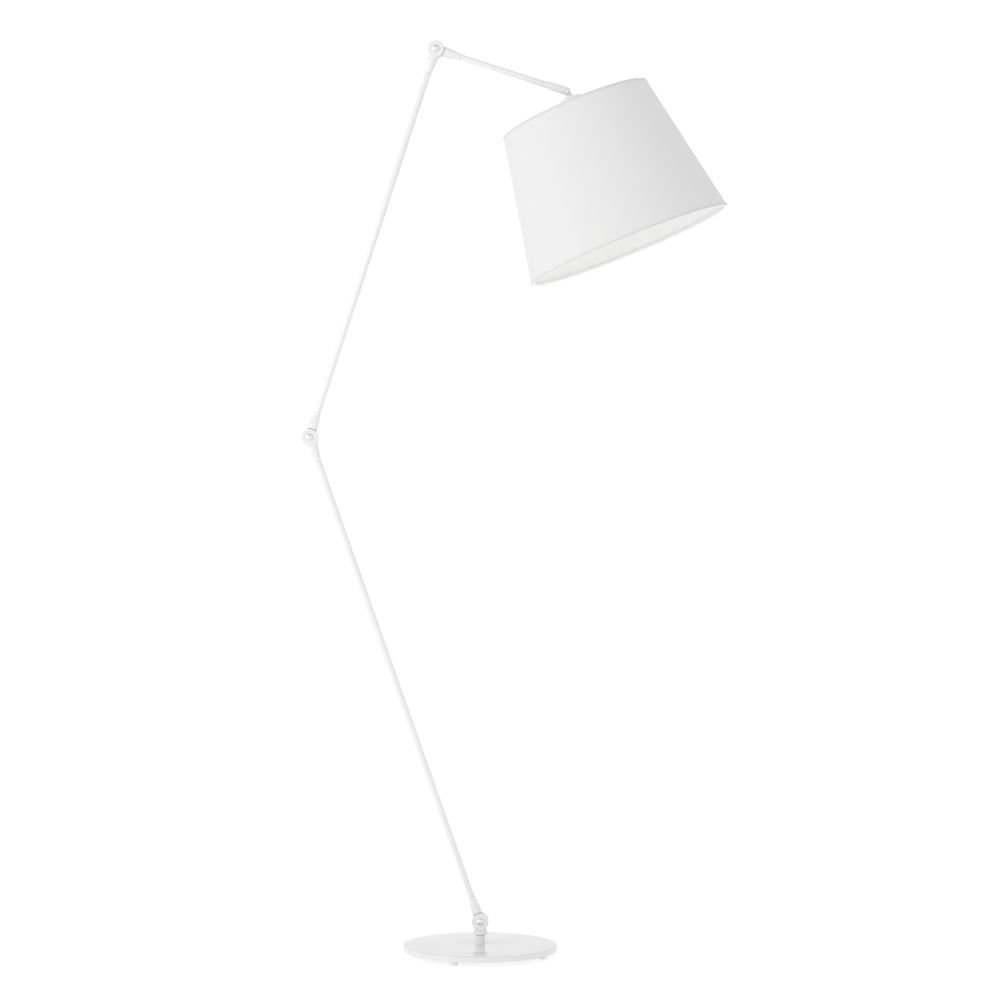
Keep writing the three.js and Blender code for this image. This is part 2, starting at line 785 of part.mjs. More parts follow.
const shadeTop = -shadeTopDrop;
const shadeBottom = shadeTop - shadeHeight;
const shadeSlope = (shadeBottomDiameter - shadeTopDiameter) / 2 / shadeHeight;
const slopeStretch = Math.hypot(1, shadeSlope);
const wireRadius = wireDiameter / 2;
const spokeShare = 0.9;

// Radius of the skin's outer face at a height on the shade's axis.
function skinRadius(height) {
  return shadeTopDiameter / 2 + (shadeTop - height) * shadeSlope;
}

function shadeSkin() {
  const wall = skinThickness * slopeStretch;
  const body = turned([
    [skinRadius(shadeTop) - wall, shadeTop],
    [skinRadius(shadeTop), shadeTop],
    [skinRadius(shadeBottom), shadeBottom],
    [skinRadius(shadeBottom) - wall, shadeBottom],
    [skinRadius(shadeTop) - wall, shadeTop],
  ], largeSides);
  return piece('shade_skin', body, whiteTextile);
}

// Radius at which a wire hoop lies just inside the skin.
function wireHoopRadius(height) {
  return skinRadius(height) - (skinThickness + fitGap + wireRadius) * slopeStretch - fitGap;
}

// The welded carrier: clamped hub ring, sloping spokes and the top hoop.
function shadeCarrier() {
  const hoopHeight = shadeTop - wireRadius;
  const hoopRadius = wireHoopRadius(hoopHeight);
  const spokeRadius = spokeShare * wireRadius;
  const spokeStart = hubTop - spokeRadius - 2 * fitGap;
  let body = ring(hubInnerRadius, hubOuterRadius, hubTop - hubThickness, hubTop, mediumSides);
  body = body.add(wireHoop(hoopRadius, hoopHeight, wireRadius, 6, largeSides));
  for (let i = 0; i < spokeCount; i += 1) {
    const angle = Math.PI / 2 + (2 * Math.PI * i) / spokeCount;
    const outwards = new THREE.Vector3(Math.cos(angle), Math.sin(angle), 0);
    const inner = outwards.clone().multiplyScalar(hubOuterRadius - 1).setZ(spokeStart);
    const outer = outwards.clone().multiplyScalar(hoopRadius).setZ(hoopHeight);
    body = body.add(bar(inner, outer, spokeRadius, 8));
  }
  return piece('shade_carrier', body, whiteLacquer);
}

function shadeBottomWire() {
  const height = shadeBottom + wireRadius;
  const body = wireHoop(wireHoopRadius(height), height, wireRadius, 6, largeSides);
  return piece('shade_bottom_wire', body, whiteLacquer);
}

// A folded edge tape: it covers one cut edge of the skin and a narrow band outside it.
function edgeTape(name, edge, inwards) {
  const clear = fitGap * slopeStretch;
  const thick = tapeThickness * slopeStretch;
  const wall = skinThickness * slopeStretch;
  const band = edge + inwards * tapeWidth;
  const lipNear = edge - inwards * fitGap;
  const lipFar = lipNear - inwards * tapeThickness;
  const body = turned([
    [skinRadius(band) + clear, band],
    [skinRadius(band) + clear + thick, band],
    [skinRadius(lipFar) + clear + thick, lipFar],
    [skinRadius(edge) - wall, lipFar],
    [skinRadius(edge) - wall, lipNear],
    [skinRadius(lipNear) + clear, lipNear],
    [skinRadius(band) + clear, band],
  ], largeSides);
  return piece(name, body, whiteTextile);
}

const bulbTip = holderCavityTop - 2 * fitGap - contactDrop;
const bulbShoulder = bulbTip - bulbCapHeight;
const tipShare = 0.38;
const tipHeight = 1.5;
const capConeHeight = 5;

// Screw cap: the contact button, the insulating cone and the threaded barrel, drawn plain.
function bulbCap() {
  const radius = bulbCapDiameter / 2;
  const body = turned([
    [0, bulbTip],
    [tipShare * radius, bulbTip],
    [tipShare * radius, bulbTip - tipHeight],
    [radius, bulbTip - capConeHeight],
    [radius, bulbShoulder],
    [0, bulbShoulder],
  ], smallSides + 6);
  return piece('bulb_cap', body, zincSteel);
}

const neckInset = 0.7;
const shoulderAngle = 48;

// Pear-shaped glass envelope, open at its neck just below the cap.
function bulbGlass() {
  const wall = 1;
  const radius = bulbDiameter / 2;
  const neckRadius = bulbCapDiameter / 2 - neckInset;
  const top = bulbShoulder - fitGap;
  const centre = bulbTip - bulbLength + radius;
  const neckEnd = skirtBottom - swingClearance;
  const body = turned([
    [neckRadius, top],
    [neckRadius, neckEnd],
    ...arc(0, centre, radius, shoulderAngle, -90, 7).slice(0, -1),
    [0, centre - radius],
    [0, centre - radius + wall],
    ...arc(0, centre, radius - wall, -90, shoulderAngle, 7).slice(1),
    [neckRadius - wall, neckEnd],
    [neckRadius - wall, top],
    [neckRadius, top],
  ], smallSides + 6);
  return piece('bulb_glass', body, opalGlass);
}

// ---------------------------------------------------------------------------
// Assembly
// ---------------------------------------------------------------------------

function baseAssembly() {
  const group = new THREE.Group();
  group.add(basePlate(), bottomCover(), cableGrommet(), baseWasher(), baseNut(), threadedStud());
  group.add(column(), columnCable(), swivelWasher(), swivelNut());
  for (let i = 0; i < footCount; i += 1) group.add(foot(i));
  return group;
}

function shadeAssembly() {
  const group = new THREE.Group();
  group.add(shadeTongue(), lampholderCup(), tongueNut(), lampholderBody(), lampholderContact());
  group.add(shadeRing(), shadeCarrier(), shadeBottomWire(), shadeSkin());
  group.add(edgeTape('shade_top_tape', shadeTop, -1), edgeTape('shade_bottom_tape', shadeBottom, 1));
  group.add(bulbCap(), bulbGlass());
  return group;
}

// Hangs a child group on a parent's upper pivot, turned to its own lean from vertical.
function hinge(parent, child, height, parentLean, childLean) {
  child.position.z = height;
  child.rotation.y = radians(childLean - parentLean);
  parent.add(child);
}

const lamp = new THREE.Group();
const lowPivot = new THREE.Group();
const lowerArm = arm('lower_arm', 'low', 'mid', lowerArmLength);
const middleArm = arm('middle_arm', 'mid', 'top', middleArmLength);
const upperArm = new THREE.Group();
const shadeEnd = new THREE.Group();
const shade = shadeAssembly();

lowPivot.position.z = lowPivotHeight;
lowPivot.add(...knuckleFittings('low'));
shadeEnd.position.z = upperArmLength;
shadeEnd.add(armEndFork(), shadePivotScrew(), shadePivotNut());
upperArm.add(armEye('top_eye'), armTube('upper_arm_tube', upperArmLength));
upperArm.add(cableLoop('top_cable_loop'), armCable('upper_arm_cable', upperArmLength), shadeEnd);

lamp.add(baseAssembly(), swivelFork(), lowPivot);
hinge(lamp, lowerArm, lowPivotHeight, 0, lowerArmLean);
hinge(lowerArm, middleArm, lowerArmLength, lowerArmLean, middleArmLean);
hinge(middleArm, upperArm, middleArmLength, middleArmLean, upperArmLean);
hinge(upperArm, shade, upperArmLength, upperArmLean, shadeLean);

export default lamp;
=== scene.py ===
import json
import math

import bpy
import numpy as np
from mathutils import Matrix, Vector


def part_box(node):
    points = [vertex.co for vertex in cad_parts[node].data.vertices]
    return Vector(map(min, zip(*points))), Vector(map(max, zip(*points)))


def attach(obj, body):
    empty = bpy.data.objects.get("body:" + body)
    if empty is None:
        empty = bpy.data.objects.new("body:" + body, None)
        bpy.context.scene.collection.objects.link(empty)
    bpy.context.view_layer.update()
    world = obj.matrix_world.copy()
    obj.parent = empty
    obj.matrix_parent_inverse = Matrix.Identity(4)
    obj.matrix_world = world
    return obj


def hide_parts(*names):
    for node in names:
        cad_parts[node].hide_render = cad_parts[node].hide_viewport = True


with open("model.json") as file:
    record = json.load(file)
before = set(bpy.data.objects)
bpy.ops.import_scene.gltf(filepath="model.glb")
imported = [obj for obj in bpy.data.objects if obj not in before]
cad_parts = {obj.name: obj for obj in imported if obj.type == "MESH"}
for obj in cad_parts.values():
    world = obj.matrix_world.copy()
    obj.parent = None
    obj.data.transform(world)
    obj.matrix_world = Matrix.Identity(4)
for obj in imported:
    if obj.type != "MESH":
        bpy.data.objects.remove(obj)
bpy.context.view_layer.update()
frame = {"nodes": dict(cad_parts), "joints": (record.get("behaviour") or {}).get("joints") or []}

MM = 0.001
TURN = 2 * math.pi
NO_TRIANGLES = np.empty((0, 3), dtype=int)

# ---- sizes shared with the design, in millimetres ----
FIT_GAP = 0.3
SWING_CLEARANCE = 0.8
PLATE_RADIUS = 150
PLATE_BOTTOM = 9.5
PLATE_TOP = 20.5
PLATE_EDGE = 3.0
PLATE_LOW_EDGE = 1.2
RECESS_RADIUS = 32
RECESS_CEILING = 15.0
STUD_HOLE = 5.3
COVER_RADIUS = 38
COVER_BOTTOM = 8.0
COVER_TOP = 9.2
COVER_HOLE_RADIUS = 4.9
GROMMET_OFFSET = 21.76
GROMMET_BORE = 2.5
GROMMET_NECK = 4.6
GROMMET_RIM = 6.4
GROMMET_STEP = 9.5
GROMMET_TOP = 10.9
FOOT_RADIUS = 7
FOOT_JOINT = 0.05
COLUMN_RADIUS = 9.5
COLUMN_JOINT = 0.02
COLUMN_BORE = 6.5
COLUMN_TOP = 38.2
COLLAR_RADIUS = 14.5
COLLAR_LOW = 39.8
COLLAR_TOP = 46.5
LOW_FORK_FLOOR = 1.2
PIVOT_HEIGHT = 65
NUT_POCKET_RADIUS = 8.9
NUT_POCKET_FLOOR = 3
PEDESTAL_RADIUS = 13.5

KNUCKLE_RADIUS = 16.5
EYE_HALF = 3.7
SLOT_HALF = 5.3
KNUCKLE_HALF = 10.3
SWING_RADIUS = KNUCKLE_RADIUS + SWING_CLEARANCE
PIVOT_HOLE = 4.3
WASHER_RADIUS = 13.5
WASHER_THICKNESS = 1.0
GROOVE_HALF = 2.3
GROOVE_FLOOR = 11.9
CABLE_RADIUS = 2.0
CABLE_BORE = 2.8
NECK_ROOT = 10.0
NECK_TIP = 6.6
NECK_LENGTH = 50
SPIGOT_RADIUS = 4.7
SPIGOT_LENGTH = 18
TUBE_RADIUS = 6.0
TUBE_BORE = 5.0
TUBE_JOINT = 0.05

ARM_END_RADIUS = 8.0
ARM_END_OVERHANG = 4.0
TONGUE_HALF = 2.7
TONGUE_RADIUS = 5.4
SHADE_LEAN = math.radians(-21.8)
CUP_TOP = -14.0
CUP_BOTTOM = -52.0
CUP_RADIUS = 24.0
CUP_WALL = 1.5
HOLDER_TOP = -21
HOLDER_STUD_FLOOR = -27
HOLDER_ROOF = -32
SOCKET_RADIUS = 14.2
SKIRT_RADIUS = 19.5
FLANGE_BOTTOM = -54.5
SKIRT_BOTTOM = -76.0
HUB_OUTER = 25.2
RIM_TOP = -38.5
RIM_BOTTOM = -324.0
RIM_TOP_RADIUS = 149.7
RIM_BOTTOM_RADIUS = 205.0
SKIN_WALL = 1.0
WIRE_RADIUS = 2.0
BULB_TIP = -38.6
BULB_LENGTH = 105.0
BULB_RADIUS = 30.0
CAP_LENGTH = 27
CAP_CREST = 13.15
GLASS_NECK = 12.5


# ---- Places ----

class Place:
    """A local frame in millimetres that rides on a body: its origin at a point and its +Z leaning from
    vertical towards +X."""

    def __init__(self, origin, lean, body):
        self.origin = np.array(origin, dtype=float)
        self.axes = np.array([
            [math.cos(lean), 0, -math.sin(lean)],
            [0, 1, 0],
            [math.sin(lean), 0, math.cos(lean)],
        ])
        self.body = body

    def world(self, points):
        return self.origin + MM * (np.asarray(points, dtype=float) @ self.axes)


PIVOTS = {joint["name"]: np.array(joint["pos_m"]) for joint in frame["joints"]}


def lean_between(start, end):
    """The lean from vertical, towards +X, of the line between two pivots."""
    span = PIVOTS[end] - PIVOTS[start]
    return math.atan2(span[0], span[2])


LOWER_LEAN = lean_between("lower_tilt", "elbow")
MIDDLE_LEAN = lean_between("elbow", "upper_elbow")
UPPER_LEAN = lean_between("upper_elbow", "shade_tilt")
GROUND = Place((0, 0, 0), 0, "base")
SHADE = Place(PIVOTS["shade_tilt"], SHADE_LEAN, "shade")


# ---- Surfaces on a grid ----

def grid_faces(rows, columns, wrap_rows):
    """Quads of a grid whose columns wrap round, and the unwrapped (row, column) of each quad's corners."""
    row, column = np.meshgrid(np.arange(rows if wrap_rows else rows - 1), np.arange(columns), indexing="ij")
    row, column = row.ravel(), column.ravel()
    corner_rows = np.stack([row, row, row + 1, row + 1], 1)
    corner_columns = np.stack([column, column + 1, column + 1, column], 1)
    quads = (corner_rows % rows) * columns + corner_columns % columns
    return quads, corner_rows, corner_columns


def rounded(corners, radius, steps=5, closed=True):
    """Straight lines between corners, each corner replaced by a quadratic curve that leaves and meets
    the lines at the given distance from it: (1-t)^2 start + 2t(1-t) corner + t^2 end."""
    corners = np.array(corners, dtype=float)
    radius = np.broadcast_to(np.asarray(radius, dtype=float), len(corners)).copy()
    if not closed:
        radius[[0, -1]] = 0
    before = np.roll(corners, 1, axis=0) - corners
    after = np.roll(corners, -1, axis=0) - corners
    before /= np.maximum(np.linalg.norm(before, axis=1, keepdims=True), 1e-9)
    after /= np.maximum(np.linalg.norm(after, axis=1, keepdims=True), 1e-9)
    start = corners + before * radius[:, None]
    end = corners + after * radius[:, None]
    t = np.linspace(0, 1, steps + 1)[None, :, None]
    curve = (1 - t) ** 2 * start[:, None] + 2 * t * (1 - t) * corners[:, None] + t ** 2 * end[:, None]
    points = curve.reshape(-1, 2)
    step = np.linalg.norm(np.diff(points, axis=0), axis=1)
    return points[np.concatenate([[True], step > 1e-6])]


def turned(profile, sides=96, closed=True, ripple=None):
    """A profile of (radius, height) turned about +Z: x = r cos a, y = r sin a, z = h. A closed profile
    runs anticlockwise; an open one starts and ends on the axis. ripple(a, h, r) adds to the radius."""
    profile = np.asarray(profile, dtype=float)
    angle = np.linspace(0, TURN, sides, endpoint=False)[None, :]
    radius = np.repeat(profile[:, :1], sides, axis=1)
    height = np.repeat(profile[:, 1:], sides, axis=1)
    if ripple is not None:
        radius = np.maximum(radius + ripple(angle, height, radius), 0)
    points = np.stack([radius * np.cos(angle), radius * np.sin(angle), height], -1).reshape(-1, 3)
    quads, _, _ = grid_faces(len(profile), sides, closed)
    triangles = NO_TRIANGLES
    if not closed:
        inner = (quads >= sides) & (quads < (len(profile) - 1) * sides)
        first = quads[(~inner[:, :2]).all(1)]
        last = quads[(~inner[:, 2:]).all(1)]
        quads = quads[inner.all(1)]
        top_pole = len(profile) * sides - 1
        triangles = np.concatenate([
            np.stack([np.zeros(sides, dtype=int), first[:, 2], first[:, 3]], 1),
            np.stack([last[:, 0], last[:, 1], np.full(sides, top_pole)], 1),
        ])
    return points, quads, triangles


def eased(corners, easing, steps, sides):
    """A closed profile with eased corners, turned about +Z."""
    return turned(rounded(corners, easing, steps), sides)


def along_y(shape):
    """A shape drawn about +Z, turned so that its top points along +Y."""
    points, quads, triangles = shape
    return points[:, [0, 2, 1]] * [1, 1, -1], quads, triangles


def joined(*shapes):
    """Several shapes as one."""
    offsets = np.cumsum([0] + [len(shape[0]) for shape in shapes[:-1]])
    points = np.concatenate([shape[0] for shape in shapes])
    quads = np.concatenate([shape[1] + offset for shape, offset in zip(shapes, offsets)])
    triangles = np.concatenate([shape[2] + offset for shape, offset in zip(shapes, offsets)])
    return points, quads, triangles


def ring(inner, outer, low, high, edge=0.3, sides=96, steps=3):
    """A washer or tube: a rectangle with rounded corners turned about +Z."""
    return eased([(inner, low), (outer, low), (outer, high), (inner, high)], edge, steps, sides)


def hoop(radius, height, wire, wire_sides=20, sides=256):
    """A round wire bent into a circle: the circle (R + r cos b, h + r sin b) turned about +Z."""
    around = np.linspace(0, TURN, wire_sides, endpoint=False)
    profile = np.stack([radius + wire * np.cos(around), height + wire * np.sin(around)], 1)
    return turned(profile, sides)


def bar(start, end, radius, sides=24):
    """A round bar between two points: a capped cylinder turned about its own axis."""
    start, end = np.array(start, dtype=float), np.array(end, dtype=float)
    length = np.linalg.norm(end - start)
    points, quads, triangles = turned(
        rounded([(0, 0), (radius, 0), (radius, length), (0, length)], 0.2, 2, False), sides, False)
    axis = (end - start) / length
    side = np.cross([0.0, 0.0, 1.0], axis)
    side /= np.linalg.norm(side)
    basis = np.array([side, np.cross(axis, side), axis])
    return start + points @ basis, quads, triangles


# ---- Castings: the zero surface of a distance field, in millimetres ----

def box_distance(offsets, edge):
    """Distance to a box from the distances past its faces, with its edges rounded."""
    past = np.stack(offsets, -1) + edge
    return np.linalg.norm(np.maximum(past, 0), axis=-1) + np.minimum(past.max(-1), 0) - edge


def drum(p, radius, low, high, edge=0.0):
    """Cylinder about Y between two values of y."""
    across = np.hypot(p[..., 0], p[..., 2]) - radius
    return box_distance([across, np.maximum(low - p[..., 1], p[..., 1] - high)], edge)


def post(p, radius, low, high, edge=0.0):
    """Cylinder about Z between two heights."""
    return drum(p[..., [0, 2, 1]], radius, low, high, edge)


def slab(p, low, high, edge=0.0):
    """Box between two corners."""
    middle = (np.array(low) + np.array(high)) / 2
    half = (np.array(high) - np.array(low)) / 2
    past = np.abs(p - middle) - half
    return box_distance([past[..., 0], past[..., 1], past[..., 2]], edge)


def union(a, b, blend):
    """Polynomial smooth minimum of two distances, with a fillet of about the blend."""
    h = np.clip(0.5 + 0.5 * (b - a) / blend, 0, 1)
    return b * (1 - h) + a * h - blend * h * (1 - h)


def cut(a, b, blend):
    """a without b, the new edge rounded by the blend."""
    return -union(-a, b, blend)


def gradient(field, p, reach=0.05):
    """Central differences of a field at points."""
    shifts = reach * np.eye(3)
    return np.stack([(field(p + s) - field(p - s)) / (2 * reach) for s in shifts], -1)


def cast(field, low, high, step):
    """Closed surface where the field is zero. Each grid cell that the surface crosses gets one corner,
    each grid edge that it crosses gets one quad, and the corners are then moved along the gradient
    until the field there is zero."""
    axes = [np.arange(a, b + step, step) for a, b in zip(low, high)]
    grid = np.stack(np.meshgrid(*axes, indexing="ij"), -1)
    inside = field(grid) < 0
    count = np.array(inside.shape) - 1
    corners = [inside[i:i + count[0], j:j + count[1], k:k + count[2]]
               for i in (0, 1) for j in (0, 1) for k in (0, 1)]
    filled = sum(corner.astype(int) for corner in corners)
    crossed = (filled > 0) & (filled < 8)
    index = np.full(crossed.shape, -1)
    index[crossed] = np.arange(crossed.sum())
    points = np.stack([axes[n][where] + step / 2 for n, where in enumerate(np.nonzero(crossed))], -1)
    for _ in range(6):
        slope = gradient(field, points)
        size = np.maximum((slope ** 2).sum(-1, keepdims=True), 0.05)
        points = points - np.clip(field(points)[:, None] * slope / size, -step, step)
    faces = []
    for n in range(3):
        near = np.take(inside, np.arange(inside.shape[n] - 1), axis=n)
        far = np.take(inside, np.arange(1, inside.shape[n]), axis=n)
        u, v = (n + 1) % 3, (n + 2) % 3
        where = np.stack(np.nonzero(near != far), -1)
        where = where[(where[:, u] > 0) & (where[:, v] > 0)]
        leaving = near[tuple(where.T)]
        step_u, step_v = np.eye(3, dtype=int)[u], np.eye(3, dtype=int)[v]
        around = [where - step_u - step_v, where - step_v, where, where - step_u]
        quad = np.stack([index[tuple(cell.T)] for cell in around], -1)
        quad[~leaving] = quad[~leaving, ::-1]
        faces.append(quad)
    return points, np.concatenate(faces), NO_TRIANGLES


# ---- Pieces ----

def add_object(name, data):
    obj = bpy.data.objects.new(name, data)
    bpy.context.scene.collection.objects.link(obj)
    return obj


def piece(node, process, shape, place, slot, crease=35, name=None):
    """A smooth-shaded piece in the row's frame that stands for a CAD node. It is named after the node and
    how it is made, and rides on its place's body."""
    name = name or f"{node}_{process}"
    points, quads, triangles = shape
    used, compact = np.unique(np.concatenate([quads.ravel(), triangles.ravel()]), return_inverse=True)
    quads = compact[:quads.size].reshape(-1, 4)
    triangles = compact[quads.size:].reshape(-1, 3)
    mesh = bpy.data.meshes.new(name)
    mesh.from_pydata(place.world(points[used]).tolist(), [], quads.tolist() + triangles.tolist())
    mesh.polygons.foreach_set("use_smooth", np.ones(len(mesh.polygons), dtype=bool))
    mesh.set_sharp_from_angle(angle=math.radians(crease))
    obj = add_object(name, mesh)
    mesh.materials.append(FINISHES[slot])
    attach(obj, place.body)
    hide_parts(node)
    return obj


# ---- Finishes ----

class Signal:
    """A shader socket whose arithmetic adds Math nodes."""

    def __init__(self, finish, socket):
        self.finish = finish
        self.socket = socket

    def math(self, operation, first, second=0.0):
        node = self.finish.node("ShaderNodeMath", {"operation": operation}, {0: first, 1: second})
        return Signal(self.finish, node.outputs[0])

    def __add__(self, other):
        return self.math("ADD", self, other)

    def __mul__(self, other):
        return self.math("MULTIPLY", self, other)

    def __sub__(self, other):
        return self.math("SUBTRACT", self, other)

    def __rsub__(self, other):
        return self.math("SUBTRACT", other, self)

    __radd__ = __add__
    __rmul__ = __mul__

    def sine(self):
        return self.math("SINE", self)

    def absolute(self):
        return self.math("ABSOLUTE", self)


class Finish:
    """A material being made, with its Principled shader."""

    def __init__(self, name, **constants):
        self.material = bpy.data.materials.new(name)
        self.material.use_nodes = True
        self.tree = self.material.node_tree
        self.shader = self.tree.nodes["Principled BSDF"]
        for socket, value in constants.items():
            self.feed(self.shader.inputs[socket.replace("_", " ")], value)

    def feed(self, socket, value):
        """Links a signal or an output to a socket, or sets the socket's own value."""
        if isinstance(value, Signal):
            value = value.socket
        if isinstance(value, bpy.types.NodeSocket):
            self.tree.links.new(value, socket)
        else:
            socket.default_value = value

    def node(self, kind, settings=None, inputs=None):
        node = self.tree.nodes.new(kind)
        for key, value in (settings or {}).items():
            setattr(node, key, value)
        for key, value in (inputs or {}).items():
            self.feed(node.inputs[key], value)
        return node

    def place(self):
        """Object coordinates, in metres."""
        return self.node("ShaderNodeTexCoord").outputs["Object"]

    def stretched(self, vector, scale):
        return self.node("ShaderNodeMapping", {}, {"Vector": vector, "Scale": scale}).outputs["Vector"]

    def noise(self, scale, detail=2.0, vector=None):
        inputs = {"Scale": scale, "Detail": detail, "Vector": vector or self.place()}
        return Signal(self, self.node("ShaderNodeTexNoise", {}, inputs).outputs["Fac"])

    def mix(self, factor, low, high):
        """A colour between two colours."""
        return self.node("ShaderNodeMix", {"data_type": "RGBA"}, {0: factor, 6: low, 7: high}).outputs[2]

    def bump(self, height, distance, strength=1.0, normal=None):
        inputs = {"Height": height, "Distance": distance, "Strength": strength}
        if normal is not None:
            inputs["Normal"] = normal
        return self.node("ShaderNodeBump", {}, inputs).outputs["Normal"]

    def surface(self, **sockets):
        """Feeds the shader's sockets that change over the surface, and returns the material."""
        for socket, value in sockets.items():
            self.feed(self.shader.inputs[socket.replace("_", " ")], value)
        return self.material


def grey(value, warmth=0.0):
    """A near-neutral colour, with a little more red than blue if warm."""
    return (value, value * (1 - warmth / 2), value * (1 - warmth), 1.0)


def white_lacquer(name, dull, bright, haze, gloss):
    """Sprayed gloss lacquer on steel: an even white with faint orange peel and fine handling marks."""
    finish = Finish(name, Coat_Roughness=0.02, IOR=1.5, Specular_IOR_Level=0.5)
    cloud = finish.noise(7.0, 3.0)
    peel = finish.noise(420.0, 1.0)
    marks = finish.noise(1800.0, 2.0)
    return finish.surface(
        Base_Color=finish.mix(cloud, grey(dull, 0.006), grey(bright, 0.002)),
        Roughness=haze + 0.08 * marks * cloud,
        Coat_Weight=gloss * (0.7 + 0.3 * cloud),
        Normal=finish.bump(peel, 0.00003, 0.3))


def polished_steel():
    """Bright plated steel with faint polishing haze."""
    finish = Finish("polished_steel")
    haze = finish.noise(900.0, 3.0)
    cloud = finish.noise(60.0, 2.0)
    return finish.surface(
        Base_Color=finish.mix(cloud, grey(0.74), grey(0.82)),
        Metallic=0.95 + 0.05 * cloud,
        Roughness=0.16 + 0.12 * haze,
        Normal=finish.bump(haze, 0.00001, 0.2))


def zinc_steel():
    """Zinc-plated steel: a soft grey with crystal-sized patches and fine scratches."""
    finish = Finish("zinc_steel", Metallic=1.0)
    patches = finish.noise(260.0, 4.0)
    scratches = finish.noise(1.0, 3.0, finish.stretched(finish.place(), (90.0, 2600.0, 90.0)))
    return finish.surface(
        Base_Color=finish.mix(patches, grey(0.52), grey(0.72)),
        Roughness=0.28 + 0.2 * patches + 0.1 * scratches,
        Normal=finish.bump(scratches, 0.00002, 0.4))


def brass():
    """Drawn brass strip, a little darker where it has tarnished."""
    finish = Finish("brass", Metallic=1.0)
    tarnish = finish.noise(300.0, 3.0)
    bright, dull = (0.76, 0.58, 0.27, 1.0), (0.58, 0.42, 0.2, 1.0)
    return finish.surface(Base_Color=finish.mix(tarnish, bright, dull), Roughness=0.22 + 0.2 * tarnish)


def pale_polymer():
    """Moulded thermoplastic with a fine spark-eroded grain."""
    finish = Finish("pale_polymer")
    grain = finish.noise(2600.0, 2.0)
    cloud = finish.noise(30.0, 2.0)
    return finish.surface(
        Base_Color=finish.mix(cloud, grey(0.74, 0.02), grey(0.79, 0.01)),
        Roughness=0.42 + 0.12 * grain,
        Normal=finish.bump(grain, 0.00003, 0.5))


def soft_rubber():
    """Soft pale rubber: matt, a little darker over its lowest 4 mm, where it meets the floor."""
    finish = Finish("soft_rubber", Sheen_Weight=0.15)
    grain = finish.noise(1500.0, 3.0)
    height = finish.node("ShaderNodeSeparateXYZ", {}, {"Vector": finish.place()}).outputs["Z"]
    low = finish.node("ShaderNodeMapRange", {}, {"Value": height, "From Min": 0.0, "From Max": 0.004})
    height_share = Signal(finish, low.outputs["Result"])
    return finish.surface(
        # the colour darkens towards the bottom of the foot, over its lowest 4 mm of height
        Base_Color=finish.mix(height_share, grey(0.72, 0.03), grey(0.84, 0.02)),
        Roughness=0.55 + 0.2 * grain,
        Normal=finish.bump(grain, 0.00004, 0.5))


def cable_sheath():
    """Smooth white sheath of a thin round cable."""
    finish = Finish("cable_sheath")
    wave = finish.noise(500.0, 2.0)
    return finish.surface(
        Base_Color=finish.mix(wave, grey(0.7, 0.02), grey(0.76, 0.01)),
        Roughness=0.35 + 0.15 * wave,
        Normal=finish.bump(wave, 0.00005, 0.3))


THREAD_PITCH = 0.0009


def cut_threads(finish, thread):
    """The cut's own UV map, in metres, and a sine across the warp and another across the weft."""
    cut_map = finish.node("ShaderNodeUVMap", {"uv_map": "cut"}).outputs["UV"]
    parts = finish.node("ShaderNodeSeparateXYZ", {}, {"Vector": cut_map})
    warp, weft = [(Signal(finish, parts.outputs[axis]) * (TURN / thread)).sine() for axis in ("X", "Y")]
    return cut_map, warp, weft


def shade_textile():
    """White plain-weave textile, stretched flat on its laminate. Warp and weft follow the cut's own UV map,
    in metres: each thread's rise is a sine across it, and warp and weft take turns on top."""
    finish = Finish("shade_textile", Sheen_Weight=0.12, Sheen_Roughness=0.5, Specular_IOR_Level=0.25)
    cut_map, warp, weft = cut_threads(finish, 2 * THREAD_PITCH)
    over = 0.5 + 0.5 * warp * weft
    threads = over * warp.absolute() + (1 - over) * weft.absolute()
    along_weft, along_warp = [finish.noise(1.0, 2.0, finish.stretched(cut_map, scale))
                              for scale in ((14.0, 900.0, 1.0), (900.0, 14.0, 1.0))]
    slubs = 0.5 * along_weft + 0.5 * along_warp
    tone = 0.55 * slubs + 0.3 * threads + 0.15 * finish.noise(9.0, 3.0)
    return finish.surface(
        Base_Color=finish.mix(tone, grey(0.66, 0.006), grey(0.775, 0.003)),
        Roughness=0.78 + 0.15 * slubs,
        Normal=finish.bump(threads + 0.8 * slubs, 0.00012, 0.35))


def edge_textile_painted_shade():
    """The rims' narrow binding: the same yarn in a finer, denser weave, coloured darker than the shade's
    textile as painted shade along the rolled rims.
    """
    finish = Finish("edge_textile_painted_shade", Sheen_Weight=0.1, Sheen_Roughness=0.5, Specular_IOR_Level=0.25)
    _, warp, weft = cut_threads(finish, THREAD_PITCH)
    ribs = 0.5 + 0.25 * warp + 0.25 * weft
    cloud = finish.noise(300.0, 2.0)
    return finish.surface(
        # the darker greys here are painted shade along the rims; the finer weave is the tape's own
        Base_Color=finish.mix(0.5 * ribs + 0.5 * cloud, grey(0.61, 0.006), grey(0.71, 0.003)),
        Roughness=0.76 + 0.12 * cloud,
        Normal=finish.bump(ribs, 0.0001, 0.35))


def shade_lining():
    """The smooth white laminate inside the shade, with faint sheet unevenness."""
    finish = Finish("shade_lining", Specular_IOR_Level=0.4)
    wave = finish.noise(40.0, 3.0)
    fine = finish.noise(1200.0, 2.0)
    return finish.surface(
        Base_Color=finish.mix(wave, grey(0.9, 0.008), grey(0.94, 0.004)),
        Roughness=0.42 + 0.12 * fine,
        Normal=finish.bump(wave + 0.1 * fine, 0.0001, 0.2))


def opal_glass():
    """Opal glass envelope: white, glossy, with a soft depth."""
    finish = Finish("opal_glass", Subsurface_Weight=0.35, Subsurface_Radius=(0.01, 0.01, 0.01), Coat_Weight=0.5)
    cloud = finish.noise(35.0, 2.0)
    return finish.surface(
        Base_Color=finish.mix(cloud, grey(0.84, 0.02), grey(0.9, 0.01)),
        Roughness=0.12 + 0.06 * cloud)


